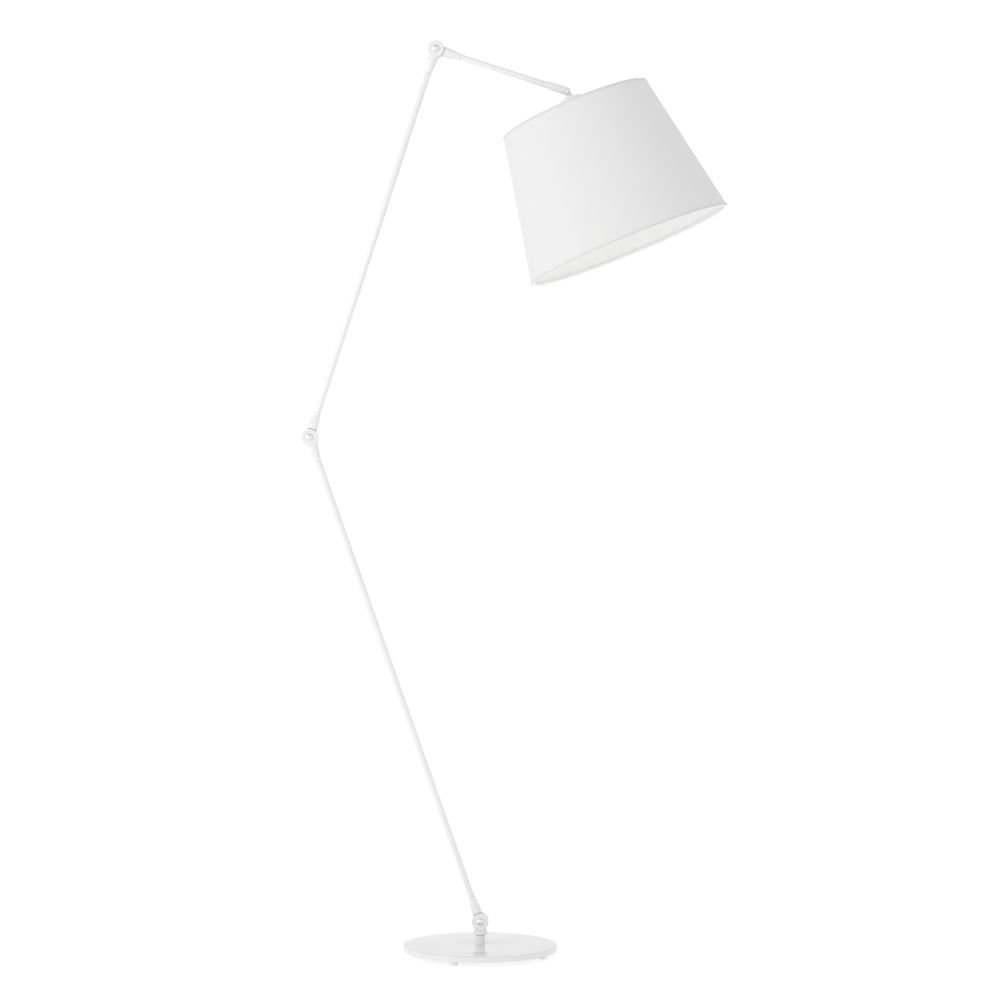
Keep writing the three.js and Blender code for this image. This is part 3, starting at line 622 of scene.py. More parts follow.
FINISHES = {make.__name__: make() for make in (
    polished_steel, zinc_steel, brass, pale_polymer, soft_rubber, cable_sheath, shade_textile, opal_glass)}
FINISHES["white_lacquer"] = white_lacquer("white_lacquer", 0.745, 0.77, 0.1, 1.0)
PLATE_LACQUER = white_lacquer("plate_lacquer", 0.715, 0.735, 0.03, 0.1)
LINING = shade_lining()
BINDING_PAINTED_SHADE = edge_textile_painted_shade()


# ---- Base ----

def base_plate():
    corners = [
        (STUD_HOLE, RECESS_CEILING), (RECESS_RADIUS, RECESS_CEILING), (RECESS_RADIUS, PLATE_BOTTOM),
        (PLATE_RADIUS, PLATE_BOTTOM), (PLATE_RADIUS, PLATE_TOP), (STUD_HOLE, PLATE_TOP),
    ]
    shape = eased(corners, [0.3, 0.3, 0.6, PLATE_LOW_EDGE, PLATE_EDGE, 0.3], 8, 256)
    obj = piece("base_plate", "turned", shape, GROUND, "white_lacquer")
    obj.data.materials[0] = PLATE_LACQUER


def foot(node):
    """A drum with a rounded tread, a waist groove and a shallow hollow under it."""
    low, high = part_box(node)
    centre = (Vector(low) + Vector(high)) / 2
    top = PLATE_BOTTOM - FOOT_JOINT
    corners = [
        (0, 0.8), (3.2, 0.8), (4.0, 0.0), (FOOT_RADIUS - 0.2, 0.0), (FOOT_RADIUS, 6.4),
        (FOOT_RADIUS - 0.6, 7.2), (FOOT_RADIUS - 0.6, top), (0, top),
    ]
    profile = rounded(corners, [0, 0.5, 0.5, 0.9, 0.5, 0.4, 0.3, 0], 5, closed=False)
    place = Place((centre.x, centre.y, 0), 0, "base")
    piece(node, "moulded", turned(profile, 48, closed=False), place, "soft_rubber")


def bottom_cover():
    """A pressed disc with a rolled edge and an offset hole for the bush. Each row of its grid is a circle
    a share of the way from the hole to the rim: (1 - s) hole + s rim."""
    sides = 128
    angle = np.linspace(0, TURN, sides, endpoint=False)
    outline = np.stack([np.cos(angle), np.sin(angle)], 1)
    hole = np.array([0, GROMMET_OFFSET]) + COVER_HOLE_RADIUS * outline
    share = np.array([0.0, 0.35, 0.7, 0.95, 0.985, 1.0])[:, None, None]
    drop = np.array([COVER_BOTTOM] * 4 + [COVER_BOTTOM + 0.12, COVER_BOTTOM + 0.5])
    under = (1 - share) * hole + share * COVER_RADIUS * outline
    rows = np.concatenate([under, under[::-1]])
    heights = np.concatenate([drop, np.full(len(drop), COVER_TOP)])
    points = np.concatenate([rows, np.broadcast_to(heights[:, None, None], (len(rows), sides, 1))], -1)
    quads, _, _ = grid_faces(len(rows), sides, True)
    shape = (points.reshape(-1, 3), quads, NO_TRIANGLES)
    piece("bottom_cover", "pressed", shape, GROUND, "zinc_steel")


def cable_grommet():
    corners = [(GROMMET_BORE, COVER_BOTTOM), (GROMMET_NECK, COVER_BOTTOM), (GROMMET_NECK, GROMMET_STEP),
               (GROMMET_RIM, GROMMET_STEP), (GROMMET_RIM, GROMMET_TOP), (GROMMET_BORE, GROMMET_TOP)]
    place = Place((0, GROMMET_OFFSET * MM, 0), 0, "base")
    piece("cable_grommet", "moulded", eased(corners, 0.4, 4, 48), place, "soft_rubber")


def column():
    low = PLATE_TOP + COLUMN_JOINT
    corners = [(COLUMN_BORE, low), (COLUMN_RADIUS, low), (COLUMN_RADIUS, COLUMN_TOP), (COLUMN_BORE, COLUMN_TOP)]
    piece("column", "turned", eased(corners, [0.2, 0.1, 0.6, 0.2], 5, 128), GROUND, "white_lacquer")
    washer = ring(STUD_HOLE, COLUMN_RADIUS, COLUMN_TOP + FIT_GAP, COLUMN_TOP + FIT_GAP + WASHER_THICKNESS)
    piece("swivel_washer", "turned", washer, GROUND, "pale_polymer")


# ---- Knuckles ----

CAST_STEP = 0.6
FINE_CAST_STEP = 0.5
FILLET = 2.0
EDGE = 0.7
ROOT_END = 22.0
NECK_START = 0.4 * KNUCKLE_RADIUS
CHEEK_EDGE = 1.2
DRILL = 20


def neck(p):
    """Round neck along +Z: its radius eases from the root to the tip as 3t^2 - 2t^3."""
    t = np.clip((NECK_LENGTH - p[..., 2]) / (NECK_LENGTH - ROOT_END), 0, 1)
    radius = NECK_TIP + (NECK_ROOT - NECK_TIP) * t * t * (3 - 2 * t)
    across = np.hypot(p[..., 0], p[..., 1]) - radius
    return box_distance([across, np.maximum(NECK_START - p[..., 2], p[..., 2] - NECK_LENGTH)], 0.4)


def spigot(p):
    return post(p, SPIGOT_RADIUS, NECK_LENGTH - 6, NECK_LENGTH + SPIGOT_LENGTH, 0.5)


def fork_field(p):
    """Two cheeks on a neck: a drum and the neck in one, less the slot, the pivot hole and the cable bore."""
    body = union(drum(p, KNUCKLE_RADIUS, -KNUCKLE_HALF, KNUCKLE_HALF, CHEEK_EDGE), neck(p), FILLET)
    body = np.minimum(body, spigot(p))
    body = cut(body, drum(p, SWING_RADIUS, -SLOT_HALF, SLOT_HALF), EDGE)
    body = cut(body, drum(p, PIVOT_HOLE, -DRILL, DRILL), 0.5)
    return cut(body, post(p, CABLE_BORE, 0, NECK_LENGTH + SPIGOT_LENGTH + 5), 0.4)


def eye_field(p):
    """One eye on a neck, which is cut back where the cheeks turn, with the cable's groove round the rim."""
    reach = KNUCKLE_HALF + 5
    stem = cut(neck(p), drum(p, SWING_RADIUS, -reach, -EYE_HALF), EDGE)
    stem = cut(stem, drum(p, SWING_RADIUS, EYE_HALF, reach), EDGE)
    body = union(drum(p, KNUCKLE_RADIUS, -EYE_HALF, EYE_HALF, 0.5), stem, 0.6)
    body = np.minimum(body, spigot(p))
    groove = cut(drum(p, SWING_RADIUS, -GROOVE_HALF, GROOVE_HALF), drum(p, GROOVE_FLOOR, -DRILL, DRILL), 0.3)
    body = cut(body, groove, 0.4)
    body = cut(body, drum(p, PIVOT_HOLE, -DRILL, DRILL), 0.5)
    return cut(body, post(p, CABLE_BORE, GROOVE_FLOOR, NECK_LENGTH + SPIGOT_LENGTH + 5), 0.4)


KNUCKLE_BOX = (-18.5, -12, -18.5), (18.5, 12, NECK_LENGTH + SPIGOT_LENGTH + 1.5)
FORK = cast(fork_field, *KNUCKLE_BOX, CAST_STEP)
EYE = cast(eye_field, *KNUCKLE_BOX, CAST_STEP)


def swivel_fork_field(p):
    """The low fork: two cheeks and their pedestal on a turned collar, hollow for the swivel nut."""
    low = COLLAR_LOW - PIVOT_HEIGHT
    floor = COLLAR_TOP - PIVOT_HEIGHT
    body = post(p, COLLAR_RADIUS, low, floor, 1.0)
    reach = COLLAR_RADIUS
    pedestal = np.maximum(post(p, PEDESTAL_RADIUS, floor - 2, 0),
                          slab(p, (-reach, -KNUCKLE_HALF, floor - 2), (reach, KNUCKLE_HALF, 0), CHEEK_EDGE))
    cheeks = drum(p, KNUCKLE_RADIUS, -KNUCKLE_HALF, KNUCKLE_HALF, CHEEK_EDGE)
    body = union(body, union(cheeks, pedestal, FILLET), 1.0)
    body = cut(body, drum(p, SWING_RADIUS, -SLOT_HALF, SLOT_HALF), EDGE)
    slot_low = (-2 * DRILL, -SLOT_HALF, floor + LOW_FORK_FLOOR)
    body = cut(body, slab(p, slot_low, (2 * DRILL, SLOT_HALF, 2 * DRILL)), EDGE)
    body = cut(body, drum(p, PIVOT_HOLE, -DRILL, DRILL), 0.5)
    pocket = post(p, NUT_POCKET_RADIUS, low + NUT_POCKET_FLOOR, floor + LOW_FORK_FLOOR + 1)
    body = cut(body, pocket, 0.3)
    return cut(body, post(p, STUD_HOLE, low - 5, floor), 0.3)


PIVOT_HEAD_SEAT = -(KNUCKLE_HALF + FIT_GAP)
SPRING_THICKNESS = 1.6
SPRING_RADIUS = 7.5
NUT_SEAT = KNUCKLE_HALF + 2 * FIT_GAP + SPRING_THICKNESS
NUT_FLATS = 13.0
NUT_HEIGHT = 6.0
NUT_DOME = 5.5
CHAMFER_SLOPE = 1.7


def domed_bolt(head, shank, seat, end, easings, steps, sides):
    """A bolt along +Y: a dome, a quarter ellipse, on a low rim, then a plain shank. The head is its dome's
    radius, base and height, its rim's radius and height."""
    dome_radius, dome_base, dome_height, rim, rim_height = head
    sweep = np.linspace(0, math.pi / 2, steps)
    dome = np.stack([dome_radius * np.sin(sweep), seat - dome_base - dome_height * np.cos(sweep)], 1)
    rest = rounded([dome[-1], (rim, seat - rim_height), (rim, seat), (shank, seat), (shank, end), (0, end)],
                   easings, 4, closed=False)
    return along_y(turned(np.concatenate([dome, rest[1:]]), sides, closed=False))


def hexagon(flats, chamfer, low, high):
    """A ripple that turns a round rim into a hexagon: its radius is half the flats over the cosine of the
    angle to the nearest flat's middle, and no more than a cone from the chamfer's circle at either end."""
    def ripple(angle, height, radius):
        nearest = (angle + math.pi / 6) % (math.pi / 3) - math.pi / 6
        cone = chamfer + CHAMFER_SLOPE * np.maximum(np.minimum(height - low, high - height), 0)
        return np.where(radius > chamfer - 0.15, np.minimum(flats / 2 / np.cos(nearest), cone) - radius, 0)
    return ripple


def cap_nut():
    """A chamfered hexagon with a dome, a quarter ellipse, on its far end."""
    top = NUT_SEAT + NUT_HEIGHT
    sweep = np.linspace(0, math.pi / 2, 12)
    dome = np.stack([5.4 * np.cos(sweep), top + 0.4 + (NUT_DOME - 0.4) * np.sin(sweep)], 1)
    corner = NUT_FLATS / 2 / math.cos(math.pi / 6)
    heights = np.concatenate([np.linspace(NUT_SEAT, NUT_SEAT + 1, 5), np.linspace(top - 1.4, top, 6)])
    rim = np.stack([np.full(len(heights), corner), heights], 1)
    bore = [(0, top - 0.5), (PIVOT_HOLE, top - 0.5), (PIVOT_HOLE, NUT_SEAT)]
    profile = np.concatenate([bore, [(5.6, NUT_SEAT)], rim, [(6.0, top)], dome])
    return along_y(turned(profile, 192, closed=False, ripple=hexagon(NUT_FLATS, 6.35, NUT_SEAT, top)))


BOLT = domed_bolt((6.1, 1.2, 2.8, 6.5, 1.0), 4.0, PIVOT_HEAD_SEAT, NUT_SEAT + NUT_HEIGHT,
                  [0, 0.15, 0.3, 0.1, 0.4, 0], 14, 96)
NUT = cap_nut()
CABLE_LOOP = along_y(hoop(GROOVE_FLOOR + FIT_GAP + CABLE_RADIUS, 0, CABLE_RADIUS, 20, 96))


def knuckle_fittings(label, place):
    piece(f"{label}_pivot_bolt", "turned", BOLT, place, "polished_steel")
    piece(f"{label}_cap_nut", "turned", NUT, place, "polished_steel", crease=28)
    low = KNUCKLE_HALF + FIT_GAP
    spring = ring(PIVOT_HOLE, SPRING_RADIUS, low, low + SPRING_THICKNESS, 0.25, 64)
    piece(f"{label}_spring_washer", "cut", along_y(spring), place, "zinc_steel")
    near = EYE_HALF + FIT_GAP
    for side, start in (("back", near), ("front", -near - WASHER_THICKNESS)):
        washer = ring(PIVOT_HOLE, WASHER_RADIUS, start, start + WASHER_THICKNESS, 0.2, 96)
        piece(f"{label}_friction_washer_{side}", "cut", along_y(washer), place, "pale_polymer")


def arm(name, low_label, top_label, low_joint, top_joint, lean):
    """An arm with its lower eye, tube and cable loop and, where it has one, its upper fork and pivot."""
    low = Place(PIVOTS[low_joint], lean, name)
    piece(f"{low_label}_eye", "cast", EYE, low, "white_lacquer")
    length = np.linalg.norm(PIVOTS[top_joint] - PIVOTS[low_joint]) / MM
    start = NECK_LENGTH + TUBE_JOINT
    tube = ring(TUBE_BORE, TUBE_RADIUS, start, length - start, 0.2, 96)
    piece(f"{name}_tube", "drawn", tube, low, "white_lacquer")
    piece(f"{low_label}_cable_loop", "laid", CABLE_LOOP, low, "cable_sheath")
    if top_label:
        hanging = Place(PIVOTS[top_joint], lean + math.pi, name)
        piece(f"{top_label}_fork", "cast", FORK, hanging, "white_lacquer")
        knuckle_fittings(top_label, Place(PIVOTS[top_joint], lean, name))


# ---- Arm end and tongue ----

SCREW_SEAT = ARM_END_RADIUS - 1.2
SCREW_FLAT_RADIUS = 5.4
SHADE_PIVOT_HOLE = 2.8
SHADE_NUT_FLATS = 8.0
SHADE_NUT_HEIGHT = 4
ARM_END_TAPER_TOP = -30
ARM_END_TAPER = 16
TONGUE_FLANGE_TOP = -9.744
TONGUE_FLANGE_RADIUS = 10
TONGUE_STUD_RADIUS = 5
TONGUE_STUD_BOTTOM = -26.7
WIRE_BORE = 1.6


def arm_end_field(p):
    """Round bar along +Z that thickens from the tube to a square-cut end, slotted for the tongue."""
    t = np.clip((ARM_END_TAPER_TOP - p[..., 2]) / ARM_END_TAPER, 0, 1)
    radius = ARM_END_RADIUS + (NECK_TIP - ARM_END_RADIUS) * t * t * (3 - 2 * t)
    across = np.hypot(p[..., 0], p[..., 1]) - radius
    body = box_distance([across, np.maximum(-NECK_LENGTH - p[..., 2], p[..., 2] - ARM_END_OVERHANG)], 0.5)
    body = np.minimum(body, post(p, SPIGOT_RADIUS, -NECK_LENGTH - SPIGOT_LENGTH, -NECK_LENGTH + 6, 0.5))
    floor = -(TONGUE_RADIUS + SWING_CLEARANCE)
    slot_half = TONGUE_HALF + FIT_GAP
    body = cut(body, slab(p, (-DRILL, -slot_half, floor), (DRILL, slot_half, DRILL)), 0.4)
    body = cut(body, drum(p, SCREW_FLAT_RADIUS, SCREW_SEAT, DRILL), 0.3)
    body = cut(body, drum(p, SCREW_FLAT_RADIUS, -DRILL, -SCREW_SEAT), 0.3)
    body = cut(body, drum(p, SHADE_PIVOT_HOLE, -DRILL, DRILL), 0.3)
    return cut(body, post(p, CABLE_BORE, -NECK_LENGTH - SPIGOT_LENGTH - 5, 0), 0.3)


def tongue_field(p):
    """The round-ended tongue with its flange and hollow stud."""
    web = slab(p, (-TONGUE_RADIUS, -TONGUE_HALF, CUP_TOP + FIT_GAP), (TONGUE_RADIUS, TONGUE_HALF, 0), 0.4)
    body = union(drum(p, TONGUE_RADIUS, -TONGUE_HALF, TONGUE_HALF, 0.5), web, 0.3)
    flange = post(p, TONGUE_FLANGE_RADIUS, CUP_TOP + FIT_GAP, TONGUE_FLANGE_TOP, 0.6)
    body = union(body, flange, 0.5)
    body = np.minimum(body, post(p, TONGUE_STUD_RADIUS, TONGUE_STUD_BOTTOM, CUP_TOP + 1, 0.3))
    body = cut(body, drum(p, SHADE_PIVOT_HOLE, -DRILL, DRILL), 0.4)
    return cut(body, post(p, WIRE_BORE, -2 * DRILL, TONGUE_FLANGE_TOP + 3), 0.3)


def shade_pivot(place):
    """The pivot screw, its domed head at the front, and its nut at the back."""
    low = SCREW_SEAT + FIT_GAP
    high = low + SHADE_NUT_HEIGHT
    screw = domed_bolt((4.3, 0.8, 2.2, 4.6, 0.7), 2.5, -low, high - 0.5, [0, 0.1, 0.2, 0.1, 0.3, 0], 10, 72)
    piece("shade_pivot_screw", "turned", screw, place, "white_lacquer")
    heights = np.concatenate([np.linspace(low, low + 0.6, 4), np.linspace(high - 0.6, high, 4)])
    rim = np.stack([np.full(len(heights), 4.7), heights], 1)
    profile = np.concatenate([[(SHADE_PIVOT_HOLE, low)], rim, [(SHADE_PIVOT_HOLE, high)]])
    nut = along_y(turned(profile, 144, ripple=hexagon(SHADE_NUT_FLATS, 3.9, low, high)))
    piece("shade_pivot_nut", "turned", nut, place, "polished_steel", crease=28)


# ---- Lampholder and bulb ----

def lampholder_cup():
    corners = [
        (CUP_RADIUS - CUP_WALL, CUP_BOTTOM), (CUP_RADIUS, CUP_BOTTOM), (CUP_RADIUS, CUP_TOP),
        (STUD_HOLE, CUP_TOP), (STUD_HOLE, CUP_TOP - CUP_WALL), (CUP_RADIUS - CUP_WALL, CUP_TOP - CUP_WALL),
    ]
    shape = eased(corners, [0.4, 0.5, 5.0, 0.3, 0.3, 3.5], 10, 128)
    piece("lampholder_cup", "spun", shape, SHADE, "white_lacquer")


def screw_thread(pitch, depth, crest, low, high):
    """A helical ripple where the radius is the crest's: depth times (cos(2 pi h / pitch - a) - 1) / 2,
    faded out towards both ends."""
    def ripple(angle, height, radius):
        fade = np.clip(np.minimum(height - low, high - height) / pitch, 0, 1)
        groove = -depth * fade * (1 - np.cos(TURN * height / pitch - angle)) / 2
        return np.where(np.abs(radius - crest) < 0.1, groove, 0)
    return ripple


def lampholder_body():
    """Insulating holder: flange, threaded skirt outside and a socket inside."""
    skirt = np.linspace(SKIRT_BOTTOM + 0.6, FLANGE_BOTTOM - 0.2, 90)
    outer = np.stack([np.full(len(skirt), SKIRT_RADIUS), skirt], 1)
    corners_low = rounded([(SOCKET_RADIUS, -44), (SOCKET_RADIUS, SKIRT_BOTTOM),
                           (SKIRT_RADIUS, SKIRT_BOTTOM), outer[0]],
                          [0, 0.4, 0.5, 0], 3, closed=False)
    corners_high = rounded([outer[-1], (SKIRT_RADIUS, FLANGE_BOTTOM), (24, FLANGE_BOTTOM), (24, -52.3),
                            (19, -52.3), (19, HOLDER_TOP), (STUD_HOLE, HOLDER_TOP),
                            (STUD_HOLE, HOLDER_STUD_FLOOR), (3, HOLDER_STUD_FLOOR), (3, HOLDER_ROOF),
                            (SOCKET_RADIUS, HOLDER_ROOF), (SOCKET_RADIUS, -43)],
                           [0, 0.1, 0.4, 0.4, 0.2, 1.0, 0.2, 0.1, 0.1, 0.1, 0.3, 0], 3, closed=False)
    profile = np.concatenate([corners_low, outer[1:-1], corners_high])
    shape = turned(profile, 128, ripple=screw_thread(2.6, 0.7, SKIRT_RADIUS, SKIRT_BOTTOM, FLANGE_BOTTOM))
    piece("lampholder_body", "moulded", shape, SHADE, "pale_polymer", crease=40)


def shade_ring():
    """The clamping ring, its rim fluted for the fingers."""
    top = FLANGE_BOTTOM - 2 * FIT_GAP - 2.0
    corners = [(19.8, top - 5), (23.2, top - 5), (23.2, top), (19.8, top)]
    profile = rounded(corners, 0.5, 4)

    def flutes(angle, height, radius):
        return np.where(radius > 22, -0.5 * np.abs(np.sin(18 * angle)), 0)

    piece("shade_ring", "moulded", turned(profile, 288, ripple=flutes), SHADE, "pale_polymer", crease=50)


def bulb():
    """Cap with a rolled thread and its contact tip, and a pear-shaped glass: a sphere that a cubic curve
    joins to the neck."""
    shoulder = BULB_TIP - CAP_LENGTH
    thread = np.linspace(shoulder + 3, BULB_TIP - 6, 80)
    profile = np.concatenate([
        [(0, shoulder), (12.6, shoulder), (13.0, shoulder + 0.5), (13.0, shoulder + 2.5)],
        np.stack([np.full(len(thread), CAP_CREST), thread], 1),
        rounded([(13.0, BULB_TIP - 5.5), (11.0, BULB_TIP - 4.0), (5.2, BULB_TIP - 1.6), (4.6, BULB_TIP),
                 (0, BULB_TIP)], [0, 0.8, 0.5, 0.4, 0], 4, closed=False),
    ])
    rolled = screw_thread(3.6, 1.3, CAP_CREST, shoulder + 2, BULB_TIP - 5)
    cap = turned(profile, 96, closed=False, ripple=rolled)
    piece("bulb_cap", "rolled", cap, SHADE, "zinc_steel", crease=40)
    centre = BULB_TIP - BULB_LENGTH + BULB_RADIUS
    top = shoulder - FIT_GAP
    sweep = np.linspace(-math.pi / 2, math.radians(42), 40)
    sphere = np.stack([BULB_RADIUS * np.cos(sweep), centre + BULB_RADIUS * np.sin(sweep)], 1)
    t = np.linspace(0, 1, 16)[1:, None]
    tangent = np.array([-math.sin(sweep[-1]), math.cos(sweep[-1])])
    meet = sphere[-1] + 12 * tangent
    handle = np.array([GLASS_NECK, SKIRT_BOTTOM - 10.0])
    neck_end = np.array([GLASS_NECK, SKIRT_BOTTOM - 1.0])
    leaving = (1 - t) ** 3 * sphere[-1] + 3 * t * (1 - t) ** 2 * meet
    arriving = 3 * t * t * (1 - t) * handle + t ** 3 * neck_end
    outer = np.concatenate([sphere, leaving + arriving, [(GLASS_NECK, top)]])
    inner = outer[::-1] * [0.965, 1.0]
    inner[:, 1] = np.maximum(inner[:, 1], centre - BULB_RADIUS + 1.0)
    inner[-1, 0] = 0
    glass = turned(np.concatenate([outer, inner]), 96, closed=False)
    piece("bulb_glass", "blown", glass, SHADE, "opal_glass", crease=60)


# ---- Shade ----

SLOPE = (RIM_BOTTOM_RADIUS - RIM_TOP_RADIUS) / (RIM_TOP - RIM_BOTTOM)
STRETCH = math.hypot(1, SLOPE)
CONE_SINE = SLOPE / STRETCH
SEAM_ANGLE = math.pi / 2
LAP_WIDTH = 12.0
LAP_STEP = 0.4
LAP_EASE = 0.8
TAPE_BAND = 4.0
SHADE_SIDES = 360


def skin_radius(height):
    """Outer radius of the skin at a height on the shade's axis."""
    return RIM_TOP_RADIUS + (RIM_TOP - height) * SLOPE


def cut_position(angle, height):
    """Where a point of the cone lies on the flat cut, in metres: at its slant distance from the cone's
    apex, and at its angle times the sine of the cone's half angle."""
    slant = skin_radius(height) / CONE_SINE
    turn = (angle - SEAM_ANGLE - math.pi) * CONE_SINE
    return np.stack([slant * np.sin(turn), slant * np.cos(turn)], -1) * MM


def round_the_axis(profile, bulge=0.0):
    """A closed profile turned about +Z from the seam, the bulge added to its radius, and the unwrapped
    (row, column) of its quads' corners."""
    angle = SEAM_ANGLE + np.linspace(0, TURN, SHADE_SIDES, endpoint=False)
    size = (len(profile), SHADE_SIDES)
    radius = np.broadcast_to(profile[:, :1] + bulge, size)
    height = np.broadcast_to(profile[:, 1:], size)
    points = np.stack([radius * np.cos(angle), radius * np.sin(angle), height], -1)
    quads, rows, columns = grid_faces(len(profile), SHADE_SIDES, True)
    return (points.reshape(-1, 3), quads, NO_TRIANGLES), rows, columns


def set_cut_map(obj, uv):
    layer = obj.data.uv_layers.new(name="cut")
    layer.data.foreach_set("uv", uv.astype(np.float32).ravel())


def shade_skin(bindings):
    """The cone's wall: outside, top edge, inside and bottom edge, with a glued lap at the back."""
    wall = SKIN_WALL * STRETCH
    heights = np.linspace(RIM_BOTTOM, RIM_TOP, 30)
    outside = np.stack([skin_radius(heights), heights], 1)
    inside = outside[::-1] - [wall, 0]
    profile = np.concatenate([outside, inside])
    past_seam = np.linspace(0, TURN, SHADE_SIDES, endpoint=False)[None, :] * profile[:, :1]
    lap = LAP_STEP * np.clip((LAP_WIDTH - past_seam) / LAP_EASE, 0, 1) * np.clip(past_seam / LAP_EASE, 0, 1)
    is_outside = (np.arange(len(profile)) < len(outside))[:, None]
    shape, rows, columns = round_the_axis(profile, np.where(is_outside, lap, 0))
    obj = piece("shade_skin", "laminated", shape, SHADE, "shade_textile", crease=50)
    corner_angle = SEAM_ANGLE + columns * TURN / SHADE_SIDES
    set_cut_map(obj, cut_position(corner_angle, profile[rows % len(profile), 1]))
    obj.data.materials.append(LINING)
    lined = (rows >= len(outside)).all(1) & (rows < len(profile)).all(1)
    obj.data.polygons.foreach_set("material_index", lined.astype(np.int32))
    half_turn = math.pi * CONE_SINE
    far, near = RIM_BOTTOM_RADIUS / CONE_SINE, RIM_TOP_RADIUS / CONE_SINE
    width = 2 * far * math.sin(half_turn) * MM
    length = (far - near * math.cos(half_turn)) * MM
    area = half_turn * (far ** 2 - near ** 2) * MM ** 2


def strip(path, thickness):
    """Closed anticlockwise outline of a band that follows a path: the path moved half the thickness to
    either side along its normals."""
    tangent = np.gradient(path, axis=0)
    tangent /= np.linalg.norm(tangent, axis=1, keepdims=True)
    normal = tangent[:, ::-1] * [-1, 1]
    outline = np.concatenate([path + normal * thickness / 2, (path - normal * thickness / 2)[::-1]])
    ahead = np.roll(outline, -1, axis=0)
    area = np.sum(outline[:, 0] * ahead[:, 1] - ahead[:, 0] * outline[:, 1])
    return outline if area > 0 else outline[::-1]


def hoop_place(edge, inwards):
    """Radius and height of the wire hoop's circle beside a rim."""
    height = edge + inwards * WIRE_RADIUS
    inset = (SKIN_WALL + FIT_GAP + WIRE_RADIUS) * STRETCH + FIT_GAP
    return skin_radius(height) - inset, height


def edge_tape(node, edge, inwards):
    """The binding: glued outside the rim, folded over the edge and round the wire hoop, and glued to
    the skin again inside."""
    thick = 0.4
    clear = 0.06 + thick / 2
    hoop_radius, hoop_height = hoop_place(edge, inwards)
    past_wire = hoop_radius - WIRE_RADIUS - 0.3
    lip = edge - inwards * 0.45
    inner = SKIN_WALL * STRETCH + clear
    landing = edge + inwards * 7.5
    end = edge + inwards * 10.0
    corners = [
        (skin_radius(edge + inwards * TAPE_BAND) + clear, edge + inwards * TAPE_BAND),
        (skin_radius(edge) + clear, lip), (past_wire, lip), (past_wire, hoop_height + inwards * 1.5),
        (skin_radius(landing) - inner, landing), (skin_radius(end) - inner, end),
    ]
    path = rounded(corners, [0, 0.5, 2.2, 1.2, 1.2, 0], 6, closed=False)
    profile = strip(path, thick)
    shape, rows, columns = round_the_axis(profile)
    obj = piece(node, "folded", shape, SHADE, "shade_textile", crease=60)
    # the binding's darker finish is painted shade along the rim
    obj.data.materials[0] = BINDING_PAINTED_SHADE
    obj.data.materials.append(LINING)
    within = profile[rows % len(profile), 0].mean(1) < skin_radius(edge) - SKIN_WALL
    obj.data.polygons.foreach_set("material_index", within.astype(np.int32))
    along = np.concatenate([[0], np.cumsum(np.linalg.norm(np.diff(profile, axis=0), axis=1))])
    along = np.append(along, along[-1] + np.linalg.norm(profile[0] - profile[-1]))
    around = columns * TURN / SHADE_SIDES * skin_radius(edge)
    set_cut_map(obj, np.stack([around, along[rows]], -1) * MM)
    return obj


def shade_wires():
    """The carrier's hub, spokes and top hoop, and the bottom hoop."""
    top_radius, top = hoop_place(RIM_TOP, -1)
    hub_top = FLANGE_BOTTOM - FIT_GAP
    spoke_radius = 0.9 * WIRE_RADIUS
    start_height = hub_top - spoke_radius - 2 * FIT_GAP
    shapes = [ring(20.2, HUB_OUTER, hub_top - 2, hub_top, 0.4, 128), hoop(top_radius, top, WIRE_RADIUS)]
    for i in range(3):
        angle = math.pi / 2 + TURN * i / 3
        out = np.array([math.cos(angle), math.sin(angle)])
        start = (*(out * (HUB_OUTER - 1)), start_height)
        end = (*(out * top_radius), top)
        shapes.append(bar(start, end, spoke_radius))
    piece("shade_carrier", "welded", joined(*shapes), SHADE, "white_lacquer")
    wire = hoop(*hoop_place(RIM_BOTTOM, 1), WIRE_RADIUS)
    piece("shade_bottom_wire", "bent", wire, SHADE, "white_lacquer", name="shade_bottom_hoop")


# ---- Assembly ----

base_plate()
for node in ("foot_front_right", "foot_rear_right", "foot_rear_left", "foot_front_left"):
    foot(node)
bottom_cover()
cable_grommet()
column()

LOW = Place(PIVOTS["lower_tilt"], 0, "swivel_head")
swivel_fork = cast(swivel_fork_field, (-18.5, -16, -27), (18.5, 16, 18.5), CAST_STEP)
piece("swivel_fork", "cast", swivel_fork, LOW, "white_lacquer")
knuckle_fittings("low", LOW)
arm("lower_arm", "low", "mid", "lower_tilt", "elbow", LOWER_LEAN)
arm("middle_arm", "mid", "top", "elbow", "upper_elbow", MIDDLE_LEAN)
arm("upper_arm", "top", None, "upper_elbow", "shade_tilt", UPPER_LEAN)

ARM_END = Place(PIVOTS["shade_tilt"], UPPER_LEAN, "upper_arm")
arm_end_low = (-9.5, -9.5, -NECK_LENGTH - SPIGOT_LENGTH - 1.5)
arm_end = cast(arm_end_field, arm_end_low, (9.5, 9.5, ARM_END_OVERHANG + 1.5), FINE_CAST_STEP)
piece("arm_end_fork", "turned", arm_end, ARM_END, "white_lacquer")
shade_pivot(ARM_END)
tongue = cast(tongue_field, (-11.5, -11.5, -28.2), (11.5, 11.5, 9.2), FINE_CAST_STEP)
piece("shade_tongue", "milled", tongue, SHADE, "white_lacquer")

lampholder_cup()
lampholder_body()
shade_ring()
bulb()
shade_skin([edge_tape("shade_top_tape", RIM_TOP, -1), edge_tape("shade_bottom_tape", RIM_BOTTOM, 1)])
shade_wires()

KEPT = {
    "zinc_steel": ("base_washer", "base_nut", "threaded_stud", "swivel_nut", "tongue_nut"),
    "brass": ("lampholder_contact",),
    "cable_sheath": ("column_cable", "lower_arm_cable", "middle_arm_cable", "upper_arm_cable"),
}
for finish_name, nodes in KEPT.items():
    for node in nodes:
        for material_slot in frame["nodes"][node].material_slots:
            material_slot.material = FINISHES[finish_name]


# ---- Floor, light and camera ----

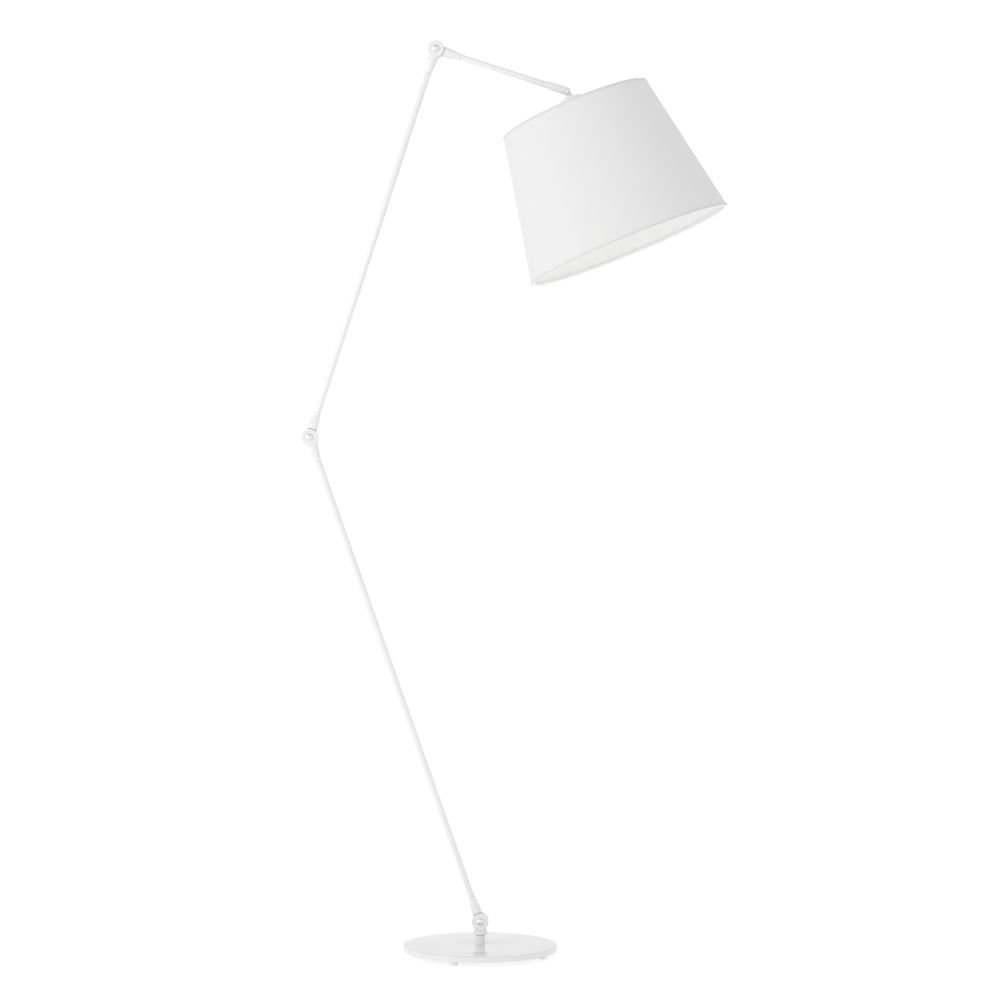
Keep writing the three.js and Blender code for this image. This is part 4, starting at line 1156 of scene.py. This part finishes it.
def floor():
    """A pale floor that can be seen through from below, so that the underside can be looked at."""
    mesh = bpy.data.meshes.new("floor")
    half = 30.0
    corners = [(-half, -half, 0), (half, -half, 0), (half, half, 0), (-half, half, 0)]
    mesh.from_pydata(corners, [], [(0, 1, 2, 3)])
    obj = add_object("floor", mesh)
    finish = Finish("pale_floor", Base_Color=grey(0.5), Roughness=0.8, Specular_IOR_Level=0.1,
                    Emission_Color=grey(1.0), Emission_Strength=0.6)
    clear = finish.node("ShaderNodeBsdfTransparent")
    behind = finish.node("ShaderNodeNewGeometry").outputs["Backfacing"]
    both = finish.node("ShaderNodeMixShader", {}, {0: behind, 1: finish.shader.outputs[0], 2: clear.outputs[0]})
    finish.feed(finish.tree.nodes["Material Output"].inputs["Surface"], both.outputs[0])
    mesh.materials.append(finish.material)


def soft_box(name, position, aim, size, watts):
    light = bpy.data.lights.new(name, "AREA")
    light.shape = "SQUARE"
    light.size = size
    light.energy = watts
    obj = add_object(name, light)
    obj.location = position
    obj.rotation_euler = (Vector(aim) - Vector(position)).to_track_quat("-Z", "Y").to_euler()


def studio():
    """A white surround that is a little dimmer overhead, and a large soft light from the left."""
    world = bpy.data.worlds.new("studio")
    world.use_nodes = True
    nodes, links = world.node_tree.nodes, world.node_tree.links
    direction = nodes.new("ShaderNodeTexCoord").outputs["Generated"]
    parts = nodes.new("ShaderNodeSeparateXYZ")
    fall = nodes.new("ShaderNodeMapRange")
    for name, value in (("From Min", 0.3), ("From Max", 0.9), ("To Min", 1.06), ("To Max", 0.72)):
        fall.inputs[name].default_value = value
    links.new(direction, parts.inputs[0])
    links.new(parts.outputs["Z"], fall.inputs["Value"])
    links.new(fall.outputs["Result"], nodes["Background"].inputs["Strength"])
    nodes["Background"].inputs["Color"].default_value = (1, 1, 1, 1)
    bpy.context.scene.world = world
    soft_box("left", (-4.2, -3.2, 2.2), (0, 0, 1.2), 2.4, 58)


def camera():
    """Level with the middle of the lower arm, straight in front."""
    data = bpy.data.cameras.new("camera")
    data.sensor_width = 36
    data.lens = 88.8
    data.shift_y = 0.0357
    obj = add_object("camera", data)
    obj.location = (0.0385, -4.8, 0.815)
    obj.rotation_euler = (math.pi / 2, 0, 0)
    bpy.context.scene.camera = obj


floor()
studio()
camera()
bpy.context.scene.view_settings.view_transform = "Standard"
